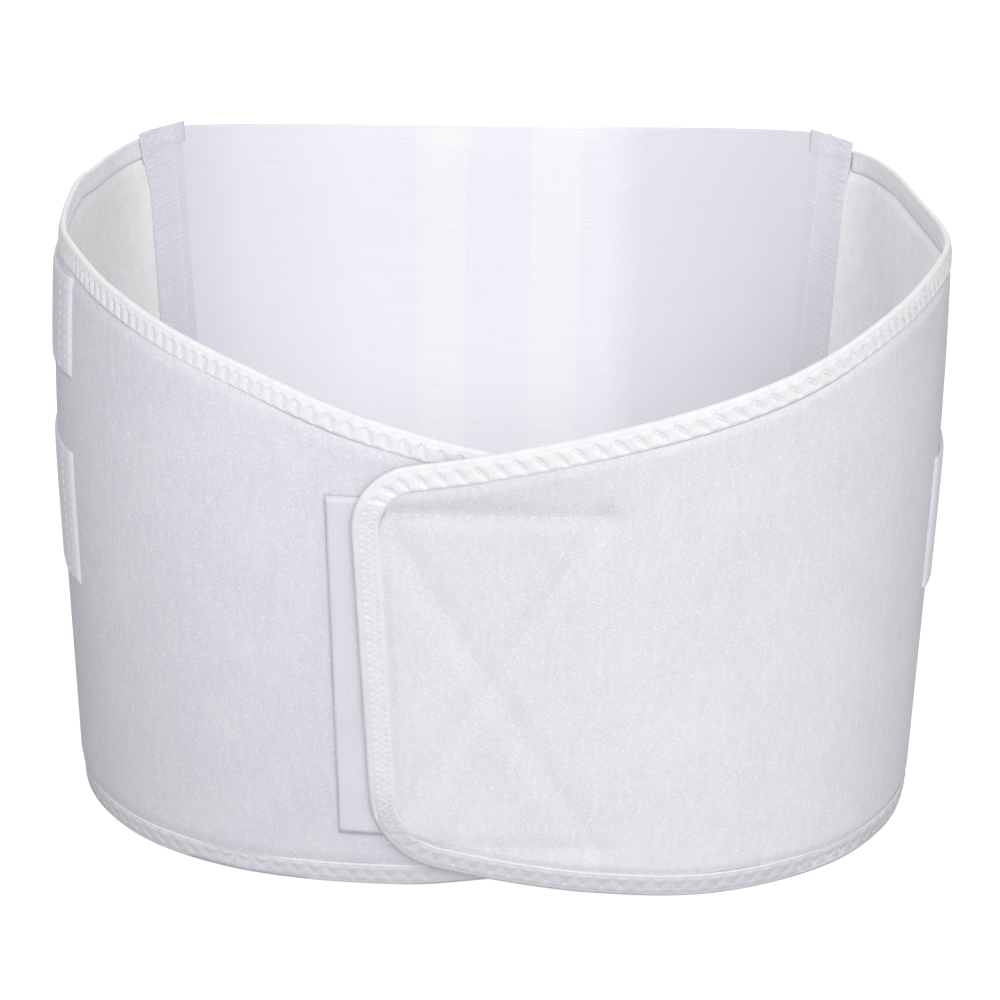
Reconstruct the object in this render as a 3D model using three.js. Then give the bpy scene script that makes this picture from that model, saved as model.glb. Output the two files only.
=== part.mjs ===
// A white lumbosacral brace that stands fastened, as a closed band round an open hollow.
// Each sewn piece is laid out flat, by arc length, height and depth, and then wrapped round one plan curve.
// The front faces -Y, and +X is on the right of someone who looks at the front.
import * as THREE from 'three';
import { mergeVertices } from 'three/addons/utils/BufferGeometryUtils.js';

// Driving dimensions, in millimetres.
// Plan of the inner face: half width, half depths, how square its front and back corners are, and how far
// it is skewed, which pulls the front right and back left corners out.
const plan = {
  halfWidth: 174.6,
  frontDepth: 136.7,
  backDepth: 144,
  frontSquareness: 2.9,
  backSquareness: 6.9,
  skew: 0.015,
};

const backHeight = 236;
const backLeftDrop = 2.3;
const backThickness = 1.4;
const panelThickness = 3.4;
const clearance = 0.3;

// Seams between the back and the panels, measured along the wall from the middle of the back.
const seam = { arcAtTop: 157, lean: 0.028 };

// Tape over each seam, which rises above the back and droops towards the panel.
const seamTape = { width: 20, thickness: 0.7, rise: { left: 0.3, right: 1.5 }, droop: 3 };

// Each panel runs past the front centre line, and the over panel's flap is lifted onto the under panel.
// The end of a panel leans about its middle height.
const flap = { reach: 50.2, lift: 6.2, liftStart: 170, liftFull: 56, lean: 0.046, leanHeight: 110 };
const corner = { top: 20, bottom: 22 };

// Tape folded over the panels' edges.
const binding = { width: 10, thickness: 0.6, chamfer: 0.8 };

// Heights of the panels' bound edges, at a distance before the front centre line.
const topEdge = [
  { before: -60, under: 170, over: 170.3 },
  { before: -30, under: 174.6, over: 176.8 },
  { before: 0, under: 179, over: 182 },
  { before: 50, under: 192, over: 193.7 },
  { before: 100, under: 211.2, over: 208.2 },
  { before: 150, under: 227.8, over: 226.4 },
  { before: 195, under: 236, over: 236 },
  { before: 290, under: 234.6, over: 234.4 },
  { before: 330, under: 230.6, over: 232.2 },
  { before: 365, under: 229, over: 230.2 },
  { before: 400, under: 231.5, over: 230.5 },
];
const bottomEdge = [
  { before: -60, under: 18, over: 21 },
  { before: -26, under: 9, over: 12.5 },
  { before: 0, under: 4, over: 7.2 },
  { before: 30, under: 0.7, over: 3.1 },
  { before: 85, under: 0, over: 0 },
  { before: 400, under: 0, over: 0 },
];

// The walls lean in towards the top along the two sides, each by its own amount and from its own depth.
const lean = { fromHeight: 130, noneAtX: 110, fullAtX: 160 };
const sideLean = {
  under: { inward: 6, noneAtY: 46, fullAtY: -50 },
  over: { inward: 3.3, noneAtY: 107, fullAtY: 15 },
};

// Channels of the back stays, on the outer face of the back.
const casing = { arc: 27.5, shift: 1.6, width: 25.5, thickness: 0.9, bottom: 8, top: 231 };

// Hook tape between the flap and the under panel, from past the flap's end to inside the closure.
const hook = { pastCentre: 60.4, beforeCentre: 25, bottom: 24.5, top: 163, thickness: 1.3, lean: 0.02 };

// Elastic straps round the outside of the back, each with its reach to the two sides, where the ends may
// lie higher.
const strapThickness = 1.3;
const strapRiseStart = 200;
const straps = [
  { name: 'upper_strap', bottom: 178, top: 216, left: 380, right: 332, endRise: 8 },
  { name: 'lower_strap', bottom: 100, top: 155, left: 379, right: 366, endRise: 0 },
];

// How finely the curved pieces are divided.
const mesh = {
  planSteps: 4000,
  panelColumns: 46,
  cornerColumns: 6,
  panelRows: 6,
  endSteps: 6,
  backColumns: 44,
  backRows: 4,
};

const cloth = {
  elastic: { color: 0xf2f2f8, roughness: 0.9 },
  plush: { color: 0xe4e4ec, roughness: 1 },
  tape: { color: 0xf8f8fa, roughness: 0.8 },
  hooks: { color: 0xf0f0f7, roughness: 0.6 },
};

// Easing from 0 at one value to 1 at another.
function fade(value, none, full) {
  const part = THREE.MathUtils.clamp((value - none) / (full - none), 0, 1);
  return part * part * (3 - 2 * part);
}

// The name that a side's column has in the tables.
function sideName(side) {
  return side > 0 ? 'over' : 'under';
}

// Smooth height along a panel's edge, with no overshoot between the rows of its table.
function heightAt(table, side, before) {
  const column = sideName(side);
  let row = 0;
  while (row < table.length - 2 && before > table[row + 1].before) {
    row += 1;
  }
  const secant = (k) => (table[k + 1][column] - table[k][column]) / (table[k + 1].before - table[k].before);
  const slope = (k) => {
    const left = secant(Math.max(k - 1, 0));
    const right = secant(Math.min(k, table.length - 2));
    return left * right > 0 ? (2 * left * right) / (left + right) : 0;
  };
  const span = table[row + 1].before - table[row].before;
  const t = THREE.MathUtils.clamp((before - table[row].before) / span, 0, 1);
  const rise = table[row + 1][column] - table[row][column];
  const swell = t * (1 - t) * ((1 - t) * (slope(row) * span - rise) - t * (slope(row + 1) * span - rise));
  return table[row][column] + t * rise + swell;
}

// Right half of the plan, from the middle of the back to the middle of the front.
function layPlan() {
  const points = [];
  let arc = 0;
  for (let step = 0; step <= mesh.planSteps; step += 1) {
    const angle = Math.PI * (0.5 - step / mesh.planSteps);
    const front = angle < 0;
    const power = 2 / (front ? plan.frontSquareness : plan.backSquareness);
    const depth = front ? -plan.frontDepth : plan.backDepth;
    const x = plan.halfWidth * Math.abs(Math.cos(angle)) ** power;
    const y = depth * Math.abs(Math.sin(angle)) ** power;
    const last = points[points.length - 1];
    arc += last ? Math.hypot(x - last.x, y - last.y) : 0;
    points.push({ arc, x, y });
  }
  return points;
}

const halfPlan = layPlan();
const halfGirth = halfPlan[halfPlan.length - 1].arc;

// Place and outward direction of the inner face, at a signed arc length from the middle of the back.
function planAt(arc) {
  const past = Math.abs(arc) > halfGirth;
  const along = past ? 2 * halfGirth - Math.abs(arc) : Math.abs(arc);
  let low = 0;
  let high = halfPlan.length - 1;
  while (high - low > 1) {
    const middle = (low + high) >> 1;
    if (halfPlan[middle].arc > along) {
      high = middle;
    } else {
      low = middle;
    }
  }
  const from = halfPlan[low];
  const to = halfPlan[high];
  const part = (along - from.arc) / (to.arc - from.arc);
  const side = past === arc > 0 ? -1 : 1;
  return {
    x: side * THREE.MathUtils.lerp(from.x, to.x, part),
    y: THREE.MathUtils.lerp(from.y, to.y, part),
    outX: (side * (from.y - to.y)) / (to.arc - from.arc),
    outY: (to.x - from.x) / (to.arc - from.arc),
  };
}

// A point of a piece: arc length along the wall, height, and depth outwards from the inner face.
function wrap(arc, height, depth) {
  const at = planAt(arc);
  const own = sideLean[sideName(at.x)];
  const atSide = fade(Math.abs(at.x), lean.noneAtX, lean.fullAtX) * fade(at.y, own.noneAtY, own.fullAtY);
  const climb = Math.max((height - lean.fromHeight) / (backHeight - lean.fromHeight), 0);
  const out = depth - own.inward * atSide * climb * climb;
  const x = at.x + at.outX * out;
  const y = at.y + at.outY * out;
  return new THREE.Vector3(x - plan.skew * y, y - plan.skew * x, height);
}

// Moves every vertex of a flat piece to its place, and leaves one closed skin that faces out.
function sew(flat, place) {
  flat.deleteAttribute('normal');
  flat.deleteAttribute('uv');
  const skin = mergeVertices(flat);
  const points = skin.attributes.position;
  for (let index = 0; index < points.count; index += 1) {
    const put = place(points.getX(index), points.getY(index), points.getZ(index));
    points.setXYZ(index, put.x, put.y, put.z);
  }
  const corners = skin.index.array;
  const [a, b, c] = [new THREE.Vector3(), new THREE.Vector3(), new THREE.Vector3()];
  let volume = 0;
  for (let index = 0; index < corners.length; index += 3) {
    a.fromBufferAttribute(points, corners[index]);
    b.fromBufferAttribute(points, corners[index + 1]);
    c.fromBufferAttribute(points, corners[index + 2]);
    volume += a.dot(b.cross(c));
  }
  if (volume < 0) {
    corners.reverse();
  }
  skin.computeVertexNormals();
  return skin;
}

// A flat sheet whose place is given by fractions along, up and through it.
function sheet(columns, rows, place) {
  const flat = new THREE.BoxGeometry(1, 1, 1, columns, rows, 1);
  return sew(flat, (x, y, z) => place(x + 0.5, y + 0.5, z + 0.5));
}

const brace = new THREE.Group();

function addPiece(name, geometry, finish) {
  const piece = new THREE.Mesh(geometry, new THREE.MeshStandardMaterial({ ...finish, metalness: 0 }));
  piece.name = name;
  brace.add(piece);
}

// Outline of a panel's cloth, inside the fold of its binding.
const foldDepth = clearance + binding.thickness;
const clothEnd = halfGirth + flap.reach - foldDepth;

function seamArc(height) {
  return seam.arcAtTop - seam.lean * (backHeight - height);
}

function rounding(radius, arc) {
  const into = Math.max(arc - (clothEnd - radius), 0);
  return radius - Math.sqrt(Math.max(radius * radius - into * into, 0));
}

function clothTop(side, arc) {
  return heightAt(topEdge, side, halfGirth - arc) - foldDepth - rounding(corner.top, arc);
}

function clothBottom(side, arc) {
  return heightAt(bottomEdge, side, halfGirth - arc) + foldDepth + rounding(corner.bottom, arc);
}

function flapDepth(side, arc) {
  return side > 0 ? flap.lift * fade(halfGirth - arc, flap.liftStart, flap.liftFull) : 0;
}

// Columns of a panel, as arc lengths at its top edge, closer together round the corners of its end.
function panelColumns() {
  const start = seam.arcAtTop + clearance / 2;
  const roundStart = clothEnd - corner.bottom;
  const columns = [];
  for (let column = 0; column <= mesh.panelColumns; column += 1) {
    columns.push(THREE.MathUtils.lerp(start, roundStart, column / mesh.panelColumns));
  }
  for (let column = 1; column <= mesh.cornerColumns; column += 1) {
    const angle = ((column / mesh.cornerColumns) * Math.PI) / 2;
    columns.push(roundStart + corner.bottom * Math.sin(angle));
  }
  return columns;
}

// Arc length of a column at a height: the seam's lean turns into the end's lean along the panel.
function columnArc(column, height) {
  const share = (clothEnd - column) / (clothEnd - seam.arcAtTop);
  const endShift = flap.lean * (height - flap.leanHeight);
  return column + share * (seamArc(height) - seam.arcAtTop) + (1 - share) * endShift;
}

// Plush-faced foam panel, from its seam at the back to its end past the front centre line.
function panelGeometry(side) {
  const columns = panelColumns();
  const last = columns.length - 1;
  return sheet(last, mesh.panelRows, (along, up, through) => {
    const column = columns[Math.round(along * last)];
    const height = THREE.MathUtils.lerp(clothBottom(side, column), clothTop(side, column), up);
    const arc = columnArc(column, height);
    return wrap(side * arc, height, flapDepth(side, arc) + through * panelThickness);
  });
}

// Stations of the binding: along the top edge, round the front end and back along the bottom edge.
function boundEdge(side) {
  const columns = panelColumns().slice(2);
  const station = (column, height) => ({ arc: columnArc(column, height), height });
  const top = columns.map((column) => station(column, clothTop(side, column)));
  const bottom = columns.map((column) => station(column, clothBottom(side, column)));
  const [endTop, endBottom] = [clothTop(side, clothEnd), clothBottom(side, clothEnd)];
  const end = [];
  for (let step = 1; step < mesh.endSteps; step += 1) {
    end.push(station(clothEnd, THREE.MathUtils.lerp(endTop, endBottom, step / mesh.endSteps)));
  }
  return [...top, ...end, ...bottom.reverse()];
}

// Section of the folded tape: distance in from the cloth's edge, and depth from the panel's inner face.
function tapeSection() {
  const leg = binding.width - foldDepth;
  const inner = -clearance;
  const outer = panelThickness + clearance;
  const shape = new THREE.Shape();
  shape.moveTo(leg, outer + binding.thickness);
  shape.lineTo(-clearance, outer + binding.thickness);
  shape.lineTo(-foldDepth, outer + binding.thickness - binding.chamfer);
  shape.lineTo(-foldDepth, inner - binding.thickness + binding.chamfer);
  shape.lineTo(-clearance, inner - binding.thickness);
  shape.lineTo(leg, inner - binding.thickness);
  shape.lineTo(leg, inner);
  shape.lineTo(-clearance, inner);
  shape.lineTo(-clearance, outer);
  shape.lineTo(leg, outer);
  shape.closePath();
  return shape;
}

function bindingGeometry(side) {
  const stations = boundEdge(side);
  const last = stations.length - 1;
  const straight = new THREE.ExtrudeGeometry(tapeSection(), { depth: 1, steps: last, bevelEnabled: false });
  return sew(straight, (inset, depth, along) => {
    const index = Math.round(along * last);
    const before = stations[Math.max(index - 1, 0)];
    const after = stations[Math.min(index + 1, last)];
    const length = Math.hypot(after.arc - before.arc, after.height - before.height);
    const arc = stations[index].arc + (inset * (after.height - before.height)) / length;
    const height = stations[index].height - (inset * (after.arc - before.arc)) / length;
    return wrap(side * arc, height, flapDepth(side, arc) + depth);
  });
}

const sides = [
  { side: -1, layer: 'under', hand: 'left' },
  { side: 1, layer: 'over', hand: 'right' },
];

// Elastic back, between the two seams, with a top that falls a little towards the left.
const backGeometry = sheet(mesh.backColumns, mesh.backRows, (along, up, through) => {
  const height = up * (backHeight - backLeftDrop * (1 - along));
  const reach = seamArc(height) - clearance / 2;
  return wrap(THREE.MathUtils.lerp(-reach, reach, along), height, through * backThickness);
});
addPiece('back_panel', backGeometry, cloth.elastic);

for (const { side, layer, hand } of sides) {
  addPiece(`${layer}_panel`, panelGeometry(side), cloth.plush);
  addPiece(`${layer}_binding`, bindingGeometry(side), cloth.tape);

  // Tape over the seam, on the inside.
  const tapeColumns = 4;
  const tapeGeometry = sheet(tapeColumns, mesh.backRows, (along, up, through) => {
    const height = up * (backHeight + seamTape.rise[hand] - along * seamTape.droop);
    const arc = seamArc(height) + (along - 0.5) * seamTape.width;
    return wrap(side * arc, height, -clearance - through * seamTape.thickness);
  });
  addPiece(`${hand}_seam_tape`, tapeGeometry, cloth.tape);

  // Stay channel, on the outside of the back.
  const casingColumns = 2;
  const casingGeometry = sheet(casingColumns, 1, (along, up, through) => {
    const arc = side * casing.arc + casing.shift + (along - 0.5) * casing.width;
    const height = THREE.MathUtils.lerp(casing.bottom, casing.top, up);
    return wrap(arc, height, backThickness + clearance + through * casing.thickness);
  });
  addPiece(`${hand}_stay_casing`, casingGeometry, cloth.elastic);
}

// Hook tape on the under panel's face, below the flap.
const hookColumns = 10;
const hookGeometry = sheet(hookColumns, 1, (along, up, through) => {
  const arc = halfGirth + THREE.MathUtils.lerp(-hook.beforeCentre, hook.pastCentre, along);
  const height = THREE.MathUtils.lerp(hook.bottom, hook.top, up);
  const shift = hook.lean * (up - 0.5) * (hook.top - hook.bottom);
  return wrap(arc + shift, height, panelThickness + clearance + through * hook.thickness);
});
addPiece('hook_patch', hookGeometry, cloth.hooks);

// Depth of a strap's inner face: over the stay channels at the back, and over the panels at the sides.
function strapSeat(arc) {
  const overCasing = backThickness + casing.thickness + 2 * clearance;
  const overPanel = panelThickness + clearance;
  const panelStart = seam.arcAtTop - seam.lean * backHeight - clearance;
  const beside = fade(Math.abs(arc), casing.arc + casing.width, panelStart);
  return THREE.MathUtils.lerp(overCasing, overPanel, beside);
}

const strapColumns = 80;
const strapRows = 2;
for (const { name, bottom, top, left, right, endRise } of straps) {
  const strapGeometry = sheet(strapColumns, strapRows, (along, up, through) => {
    const arc = THREE.MathUtils.lerp(-left, right, along);
    const rise = endRise * fade(Math.abs(arc), strapRiseStart, arc < 0 ? left : right);
    const height = THREE.MathUtils.lerp(bottom, top, up) + rise;
    return wrap(arc, height, strapSeat(arc) + through * strapThickness);
  });
  addPiece(name, strapGeometry, cloth.elastic);
}

// The origin is the middle of the whole brace, on the surface that it stands on.
const box = new THREE.Box3().setFromObject(brace);
const middle = box.getCenter(new THREE.Vector3());
brace.position.set(-middle.x, -middle.y, -box.min.z);

export default brace;
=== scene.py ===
# %% [markdown]
# # A white lumbosacral brace that stands closed
# The brace is a back-support belt: an elastic back, two plush-faced foam panels, and a flap that
# closes on hook tape in front. Every sewn piece is first laid out flat, as a maker would cut it,
# and then wrapped round one plan curve, so that a stitch or a hem is placed by plain cloth measures.

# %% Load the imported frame
import math

import bmesh
import bpy
import numpy as np
from mathutils import Matrix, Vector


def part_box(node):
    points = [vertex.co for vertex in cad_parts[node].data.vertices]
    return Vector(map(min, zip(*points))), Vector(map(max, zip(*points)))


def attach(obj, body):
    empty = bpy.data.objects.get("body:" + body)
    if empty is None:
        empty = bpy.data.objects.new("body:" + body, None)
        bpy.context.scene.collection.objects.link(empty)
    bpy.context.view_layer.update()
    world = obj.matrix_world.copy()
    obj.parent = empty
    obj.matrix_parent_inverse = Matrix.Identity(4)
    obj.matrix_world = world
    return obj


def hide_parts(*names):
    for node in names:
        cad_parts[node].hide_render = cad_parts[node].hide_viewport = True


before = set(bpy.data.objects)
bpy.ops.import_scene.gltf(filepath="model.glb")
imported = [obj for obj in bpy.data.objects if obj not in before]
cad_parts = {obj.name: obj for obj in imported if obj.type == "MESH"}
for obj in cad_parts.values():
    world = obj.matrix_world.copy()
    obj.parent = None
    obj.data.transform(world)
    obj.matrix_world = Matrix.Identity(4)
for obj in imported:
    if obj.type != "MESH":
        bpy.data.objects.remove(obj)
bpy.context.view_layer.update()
print("frame nodes:", sorted(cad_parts))

# %% [markdown]
# ## The plan curve
# Seen from above, the belt is a rounded rectangle, squarer at the back than at the front and a little
# skewed, as cloth stands. The curve could be drawn by hand, but a superellipse needs only three sizes,
# two powers and a skew. Cloth measures are millimetres, and `wrap` gives metres in the frame.

# %% Plan of the inner face
MM = 0.001
HALF_WIDTH = 174.6
FRONT_DEPTH = 136.7
BACK_DEPTH = 144.0
FRONT_SQUARENESS = 2.9
BACK_SQUARENESS = 6.9
SKEW = 0.015
BACK_HEIGHT = 236.0
BACK_THICKNESS = 1.4
PANEL_THICKNESS = 3.4
CLEARANCE = 0.3
PLAN_STEPS = 4000

turn = np.linspace(math.pi / 2, -math.pi / 2, PLAN_STEPS + 1)
in_front = turn < 0
power = np.where(in_front, 2 / FRONT_SQUARENESS, 2 / BACK_SQUARENESS)
plan_x = HALF_WIDTH * np.abs(np.cos(turn)) ** power
plan_y = np.where(in_front, -FRONT_DEPTH, BACK_DEPTH) * np.abs(np.sin(turn)) ** power
plan_arc = np.concatenate([[0.0], np.cumsum(np.hypot(np.diff(plan_x), np.diff(plan_y)))])
slope_x = np.gradient(plan_x, plan_arc)
slope_y = np.gradient(plan_y, plan_arc)
HALF_GIRTH = plan_arc[-1]
print(f"half girth {HALF_GIRTH:.1f} mm")

# %% From a flat point to the standing wall
LEAN_FROM = 130.0
LEAN_SIDE = (110.0, 160.0)
# How each side wall leans in at the top: how far, and from which depth of the plan to which.
UNDER_LEAN = (6.0, 46.0, -50.0)
OVER_LEAN = (3.3, 107.0, 15.0)
plan_shift = np.zeros(2)


def fade(value, none, full):
    """Eases from 0 at one value to 1 at another."""
    part = np.clip((value - none) / (full - none), 0.0, 1.0)
    return part * part * (3.0 - 2.0 * part)


def wrap(arc, height, depth):
    """The place of a flat point: arc from the middle of the back, height, and depth outwards."""
    arc, height, depth = np.broadcast_arrays(arc, height, depth)
    past = np.abs(arc) > HALF_GIRTH
    along = np.where(past, 2 * HALF_GIRTH - np.abs(arc), np.abs(arc))
    side = np.where(past, -np.sign(arc), np.sign(arc))
    x = side * np.interp(along, plan_arc, plan_x)
    y = np.interp(along, plan_arc, plan_y)
    out_x = -side * np.interp(along, plan_arc, slope_y)
    out_y = np.interp(along, plan_arc, slope_x)
    inward, none, full = (np.where(x < 0, under, over) for under, over in zip(UNDER_LEAN, OVER_LEAN))
    at_side = fade(np.abs(x), *LEAN_SIDE) * fade(y, none, full)
    climb = np.maximum((height - LEAN_FROM) / (BACK_HEIGHT - LEAN_FROM), 0.0)
    out = depth - inward * at_side * climb**2
    x, y = x + out_x * out, y + out_y * out
    return MM * np.stack([x - SKEW * y + plan_shift[0], y - SKEW * x + plan_shift[1], height], axis=-1)


def needle(arc, height, depth):
    """A point of the wall, and the direction straight out of the wall there."""
    point = wrap(arc, height, depth)
    out = wrap(arc, height, np.asarray(depth) + 1.0) - point
    return point, out / np.linalg.norm(out, axis=-1, keepdims=True)


print("front centre of the plan:", wrap(HALF_GIRTH, 0.0, 0.0).round(4))

# %% [markdown]
# ## The cut of the panels
# Each panel starts at a leaning seam beside the back and ends past the front centre line. Its top edge
# falls towards the front and its bottom edge rises a little. A few rows give each edge, with a monotone
# cubic between them, so the edge has no bumps. The right panel lies over the left one.

# %% Edges of the panels
SEAM_ARC = 157.0
SEAM_LEAN = 0.028
FLAP_REACH = 50.2
FLAP_LIFT = 6.2
FLAP_LIFT_SPAN = (170.0, 56.0)
END_LEAN = 0.046
END_LEAN_HEIGHT = 110.0
CORNER_TOP = 20.0
CORNER_BOTTOM = 22.0
FOLD_DEPTH = 0.9
CLOTH_START = SEAM_ARC + CLEARANCE / 2
CLOTH_END = HALF_GIRTH + FLAP_REACH - FOLD_DEPTH

# Boxed cross on the flap: past the front centre to the left, before it to the right, and its heights.
BOX = {"left": 42.0, "right": 36.5, "bottom": 23.0, "top": 159.0}

# Columns: distance before the front centre line, height on the under panel, height on the over panel.
TOP_EDGE = np.array([
    (-60.0, 170.0, 170.3), (-30.0, 174.6, 176.8), (0.0, 179.0, 182.0), (50.0, 192.0, 193.7),
    (100.0, 211.2, 208.2), (150.0, 227.8, 226.4), (195.0, 236.0, 236.0), (290.0, 234.6, 234.4),
    (330.0, 230.6, 232.2), (365.0, 229.0, 230.2), (400.0, 231.5, 230.5),
])
BOTTOM_EDGE = np.array([
    (-60.0, 18.0, 21.0), (-26.0, 9.0, 12.5), (0.0, 4.0, 7.2), (30.0, 0.7, 3.1), (85.0, 0.0, 0.0),
    (400.0, 0.0, 0.0),
])


def edge_height(table, side, before):
    """Smooth height along an edge, with no overshoot between the rows of its table."""
    knots = table[:, 0]
    heights = table[:, 2 if side > 0 else 1]
    secant = np.diff(heights) / np.diff(knots)
    product = secant[:-1] * secant[1:]
    total = np.where(product > 0, secant[:-1] + secant[1:], 1.0)
    slope = np.concatenate([secant[:1], np.where(product > 0, 2 * product / total, 0.0), secant[-1:]])
    row = np.clip(np.searchsorted(knots, before) - 1, 0, len(secant) - 1)
    span = np.diff(knots)[row]
    rise = np.diff(heights)[row]
    t = np.clip((before - knots[row]) / span, 0.0, 1.0)
    swell = t * (1 - t) * ((1 - t) * (slope[row] * span - rise) - t * (slope[row + 1] * span - rise))
    return heights[row] + t * rise + swell


def rounding(radius, arc):
    """How far a rounded corner takes an edge in, near the end of the panel."""
    into = np.maximum(arc - (CLOTH_END - radius), 0.0)
    return radius - np.sqrt(np.maximum(radius**2 - into**2, 0.0))


def cloth_top(side, column):
    return edge_height(TOP_EDGE, side, HALF_GIRTH - column) - FOLD_DEPTH - rounding(CORNER_TOP, column)


def cloth_bottom(side, column):
    return edge_height(BOTTOM_EDGE, side, HALF_GIRTH - column) + FOLD_DEPTH + rounding(CORNER_BOTTOM, column)


def seam_arc(height):
    return SEAM_ARC - SEAM_LEAN * (BACK_HEIGHT - height)


def seam_share(column):
    """1 at the seam, 0 at the panel's end."""
    return (CLOTH_END - column) / (CLOTH_END - SEAM_ARC)


def end_shift(height):
    return END_LEAN * (height - END_LEAN_HEIGHT)


def column_arc(column, height):
    """Arc of a panel's column at a height: the seam's lean turns into the end's lean along the panel."""
    share = seam_share(column)
    return column + share * (seam_arc(height) - SEAM_ARC) + (1 - share) * end_shift(height)


def flap_depth(side, arc):
    """How far the over panel's flap is lifted onto the under panel."""
    return FLAP_LIFT * fade(HALF_GIRTH - arc, *FLAP_LIFT_SPAN) if side > 0 else 0.0 * arc


seam_end = seam_arc(BACK_HEIGHT) - CLEARANCE / 2
back_low, back_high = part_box("back_panel")
plan_shift[:] = (
    (back_high.x - wrap(seam_end, BACK_HEIGHT, BACK_THICKNESS)[0]) / MM,
    (back_low.y - wrap(seam_end, BACK_HEIGHT, 0.0)[1]) / MM,
)
print(f"panel cloth from {CLOTH_START:.1f} to {CLOTH_END:.1f} mm, plan shift {plan_shift.round(2)}")

# %% [markdown]
# ## Camera
# The photograph looks down on the belt from the front. Its lens and place were settled by laying the
# belt's edges over the picture: a long lens, pitched down, with a slight roll.

# %% Camera
IMAGE_SIDE = 1000
FOCAL_PIXELS = 2000
SENSOR_MM = 36.0
CAMERA_PLACE = (2.0, -791.2, 435.5)
CAMERA_PITCH = math.radians(22.7)
CAMERA_ROLL = math.radians(0.81)
FAR_CLIP = 50.0

lens = bpy.data.cameras.new("portrait_camera")
lens.sensor_width = SENSOR_MM
lens.lens = SENSOR_MM * FOCAL_PIXELS / IMAGE_SIDE
lens.clip_end = FAR_CLIP
camera = bpy.data.objects.new("portrait_camera", lens)
bpy.context.collection.objects.link(camera)
tilt = Matrix.Rotation(math.pi / 2 - CAMERA_PITCH, 4, "X") @ Matrix.Rotation(CAMERA_ROLL, 4, "Z")
place = (CAMERA_PLACE[0] + plan_shift[0], CAMERA_PLACE[1] + plan_shift[1], CAMERA_PLACE[2])
camera.matrix_world = Matrix.Translation([MM * size for size in place]) @ tilt
bpy.context.scene.camera = camera
print(f"camera lens {lens.lens:.0f} mm")

# %% [markdown]
# ## Studio
# The belt stands on a plain white floor in soft light. One big lamp in front and a little above makes
# the faces that look at the camera brightest, and a pale sky, brighter from the front, fills the shade.
# Two lamps behind, one high and one low, keep the back readable from the other side.

# %% Floor and lamps
FLOOR_SIDE = 14.0


def new_object(name, data):
    made = bpy.data.objects.new(name, data)
    bpy.context.collection.objects.link(made)
    return made


ground = bmesh.new()
bmesh.ops.create_grid(ground, x_segments=2, y_segments=2, size=FLOOR_SIDE / 2)
ground_mesh = bpy.data.meshes.new("studio_floor")
ground.to_mesh(ground_mesh)
ground.free()
floor = new_object("studio_floor", ground_mesh)
floor.visible_diffuse = False

# Columns: name, place in metres, point aimed at, side in metres, power in watts.
LAMPS = [
    ("front_lamp", (0.12, -1.20, 0.90), (0.0, -0.05, 0.12), 0.9, 11.6),
    ("back_lamp", (-0.3, 1.9, 1.2), (0.0, 0.1, 0.12), 1.2, 20.0),
    ("low_back_lamp", (0.25, 1.7, 0.42), (0.0, 0.1, 0.12), 0.5, 5.5),
]
for name, spot, aim, side, watts in LAMPS:
    lamp = bpy.data.lights.new(name, "AREA")
    lamp.size = side
    lamp.energy = watts
    holder = new_object(name, lamp)
    ray = np.array(aim) - np.array(spot)
    yaw = math.atan2(-ray[0], ray[1])
    dip = math.atan2(math.hypot(ray[0], ray[1]), -ray[2])
    turn_to = Matrix.Rotation(yaw, 4, "Z") @ Matrix.Rotation(dip, 4, "X")
    holder.matrix_world = Matrix.Translation(spot) @ turn_to

SKY_BRIGHTEST = (0.0, -0.9, 0.45)
SKY_COLOUR = (0.985, 0.970, 1.0, 1.0)
SKY_DIM = 0.11
SKY_BRIGHT = 0.80
sky = bpy.data.worlds.new("studio_sky")
sky.use_nodes = True
sky_nodes, sky_links = sky.node_tree.nodes, sky.node_tree.links
sky_light = sky_nodes["Background"]
sky_light.inputs["Color"].default_value = SKY_COLOUR
looking = sky_nodes.new("ShaderNodeTexCoord")
toward = sky_nodes.new("ShaderNodeVectorMath")
toward.operation = "DOT_PRODUCT"
toward.inputs[1].default_value = SKY_BRIGHTEST
level = sky_nodes.new("ShaderNodeMapRange")
for socket, value in [("From Min", -1.0), ("To Min", SKY_DIM), ("To Max", SKY_BRIGHT)]:
    level.inputs[socket].default_value = value
sky_links.new(looking.outputs["Generated"], toward.inputs[0])
sky_links.new(toward.outputs["Value"], level.inputs["Value"])
sky_links.new(level.outputs["Result"], sky_light.inputs["Strength"])
bpy.context.scene.world = sky
bpy.context.scene.view_settings.view_transform = "Standard"
print("lamps:", [row[0] for row in LAMPS])

# %% [markdown]
# ## Finishes
# All the cloth is white, so the finishes differ by weave, nap and gloss, and by painted light and
# shade where one finish is a lighter or darker copy of another. Each is a node tree on the
# Object coordinates, or on the piece's own flat pattern where the weave follows the cloth. A small
# helper adds a node and joins its sockets.


# %% Helpers for node trees
def screen(red, green, blue):
    """A colour as the picture shows it, from 0 to 255, as the shader needs it."""
    values = np.array([red, green, blue]) / 255.0
    linear = np.where(values <= 0.04045, values / 12.92, ((values + 0.055) / 1.055) ** 2.4)
    return (*linear, 1.0)


SHEEN_ROUGHNESS = 0.5


def new_finish(name, roughness, sheen=0.0, specular=0.3):
    finish = bpy.data.materials.new(name)
    finish.use_nodes = True
    shader = finish.node_tree.nodes["Principled BSDF"]
    shader.inputs["Roughness"].default_value = roughness
    shader.inputs["Sheen Weight"].default_value = sheen
    shader.inputs["Sheen Roughness"].default_value = SHEEN_ROUGHNESS
    shader.inputs["Specular IOR Level"].default_value = specular
    return finish, shader


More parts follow.
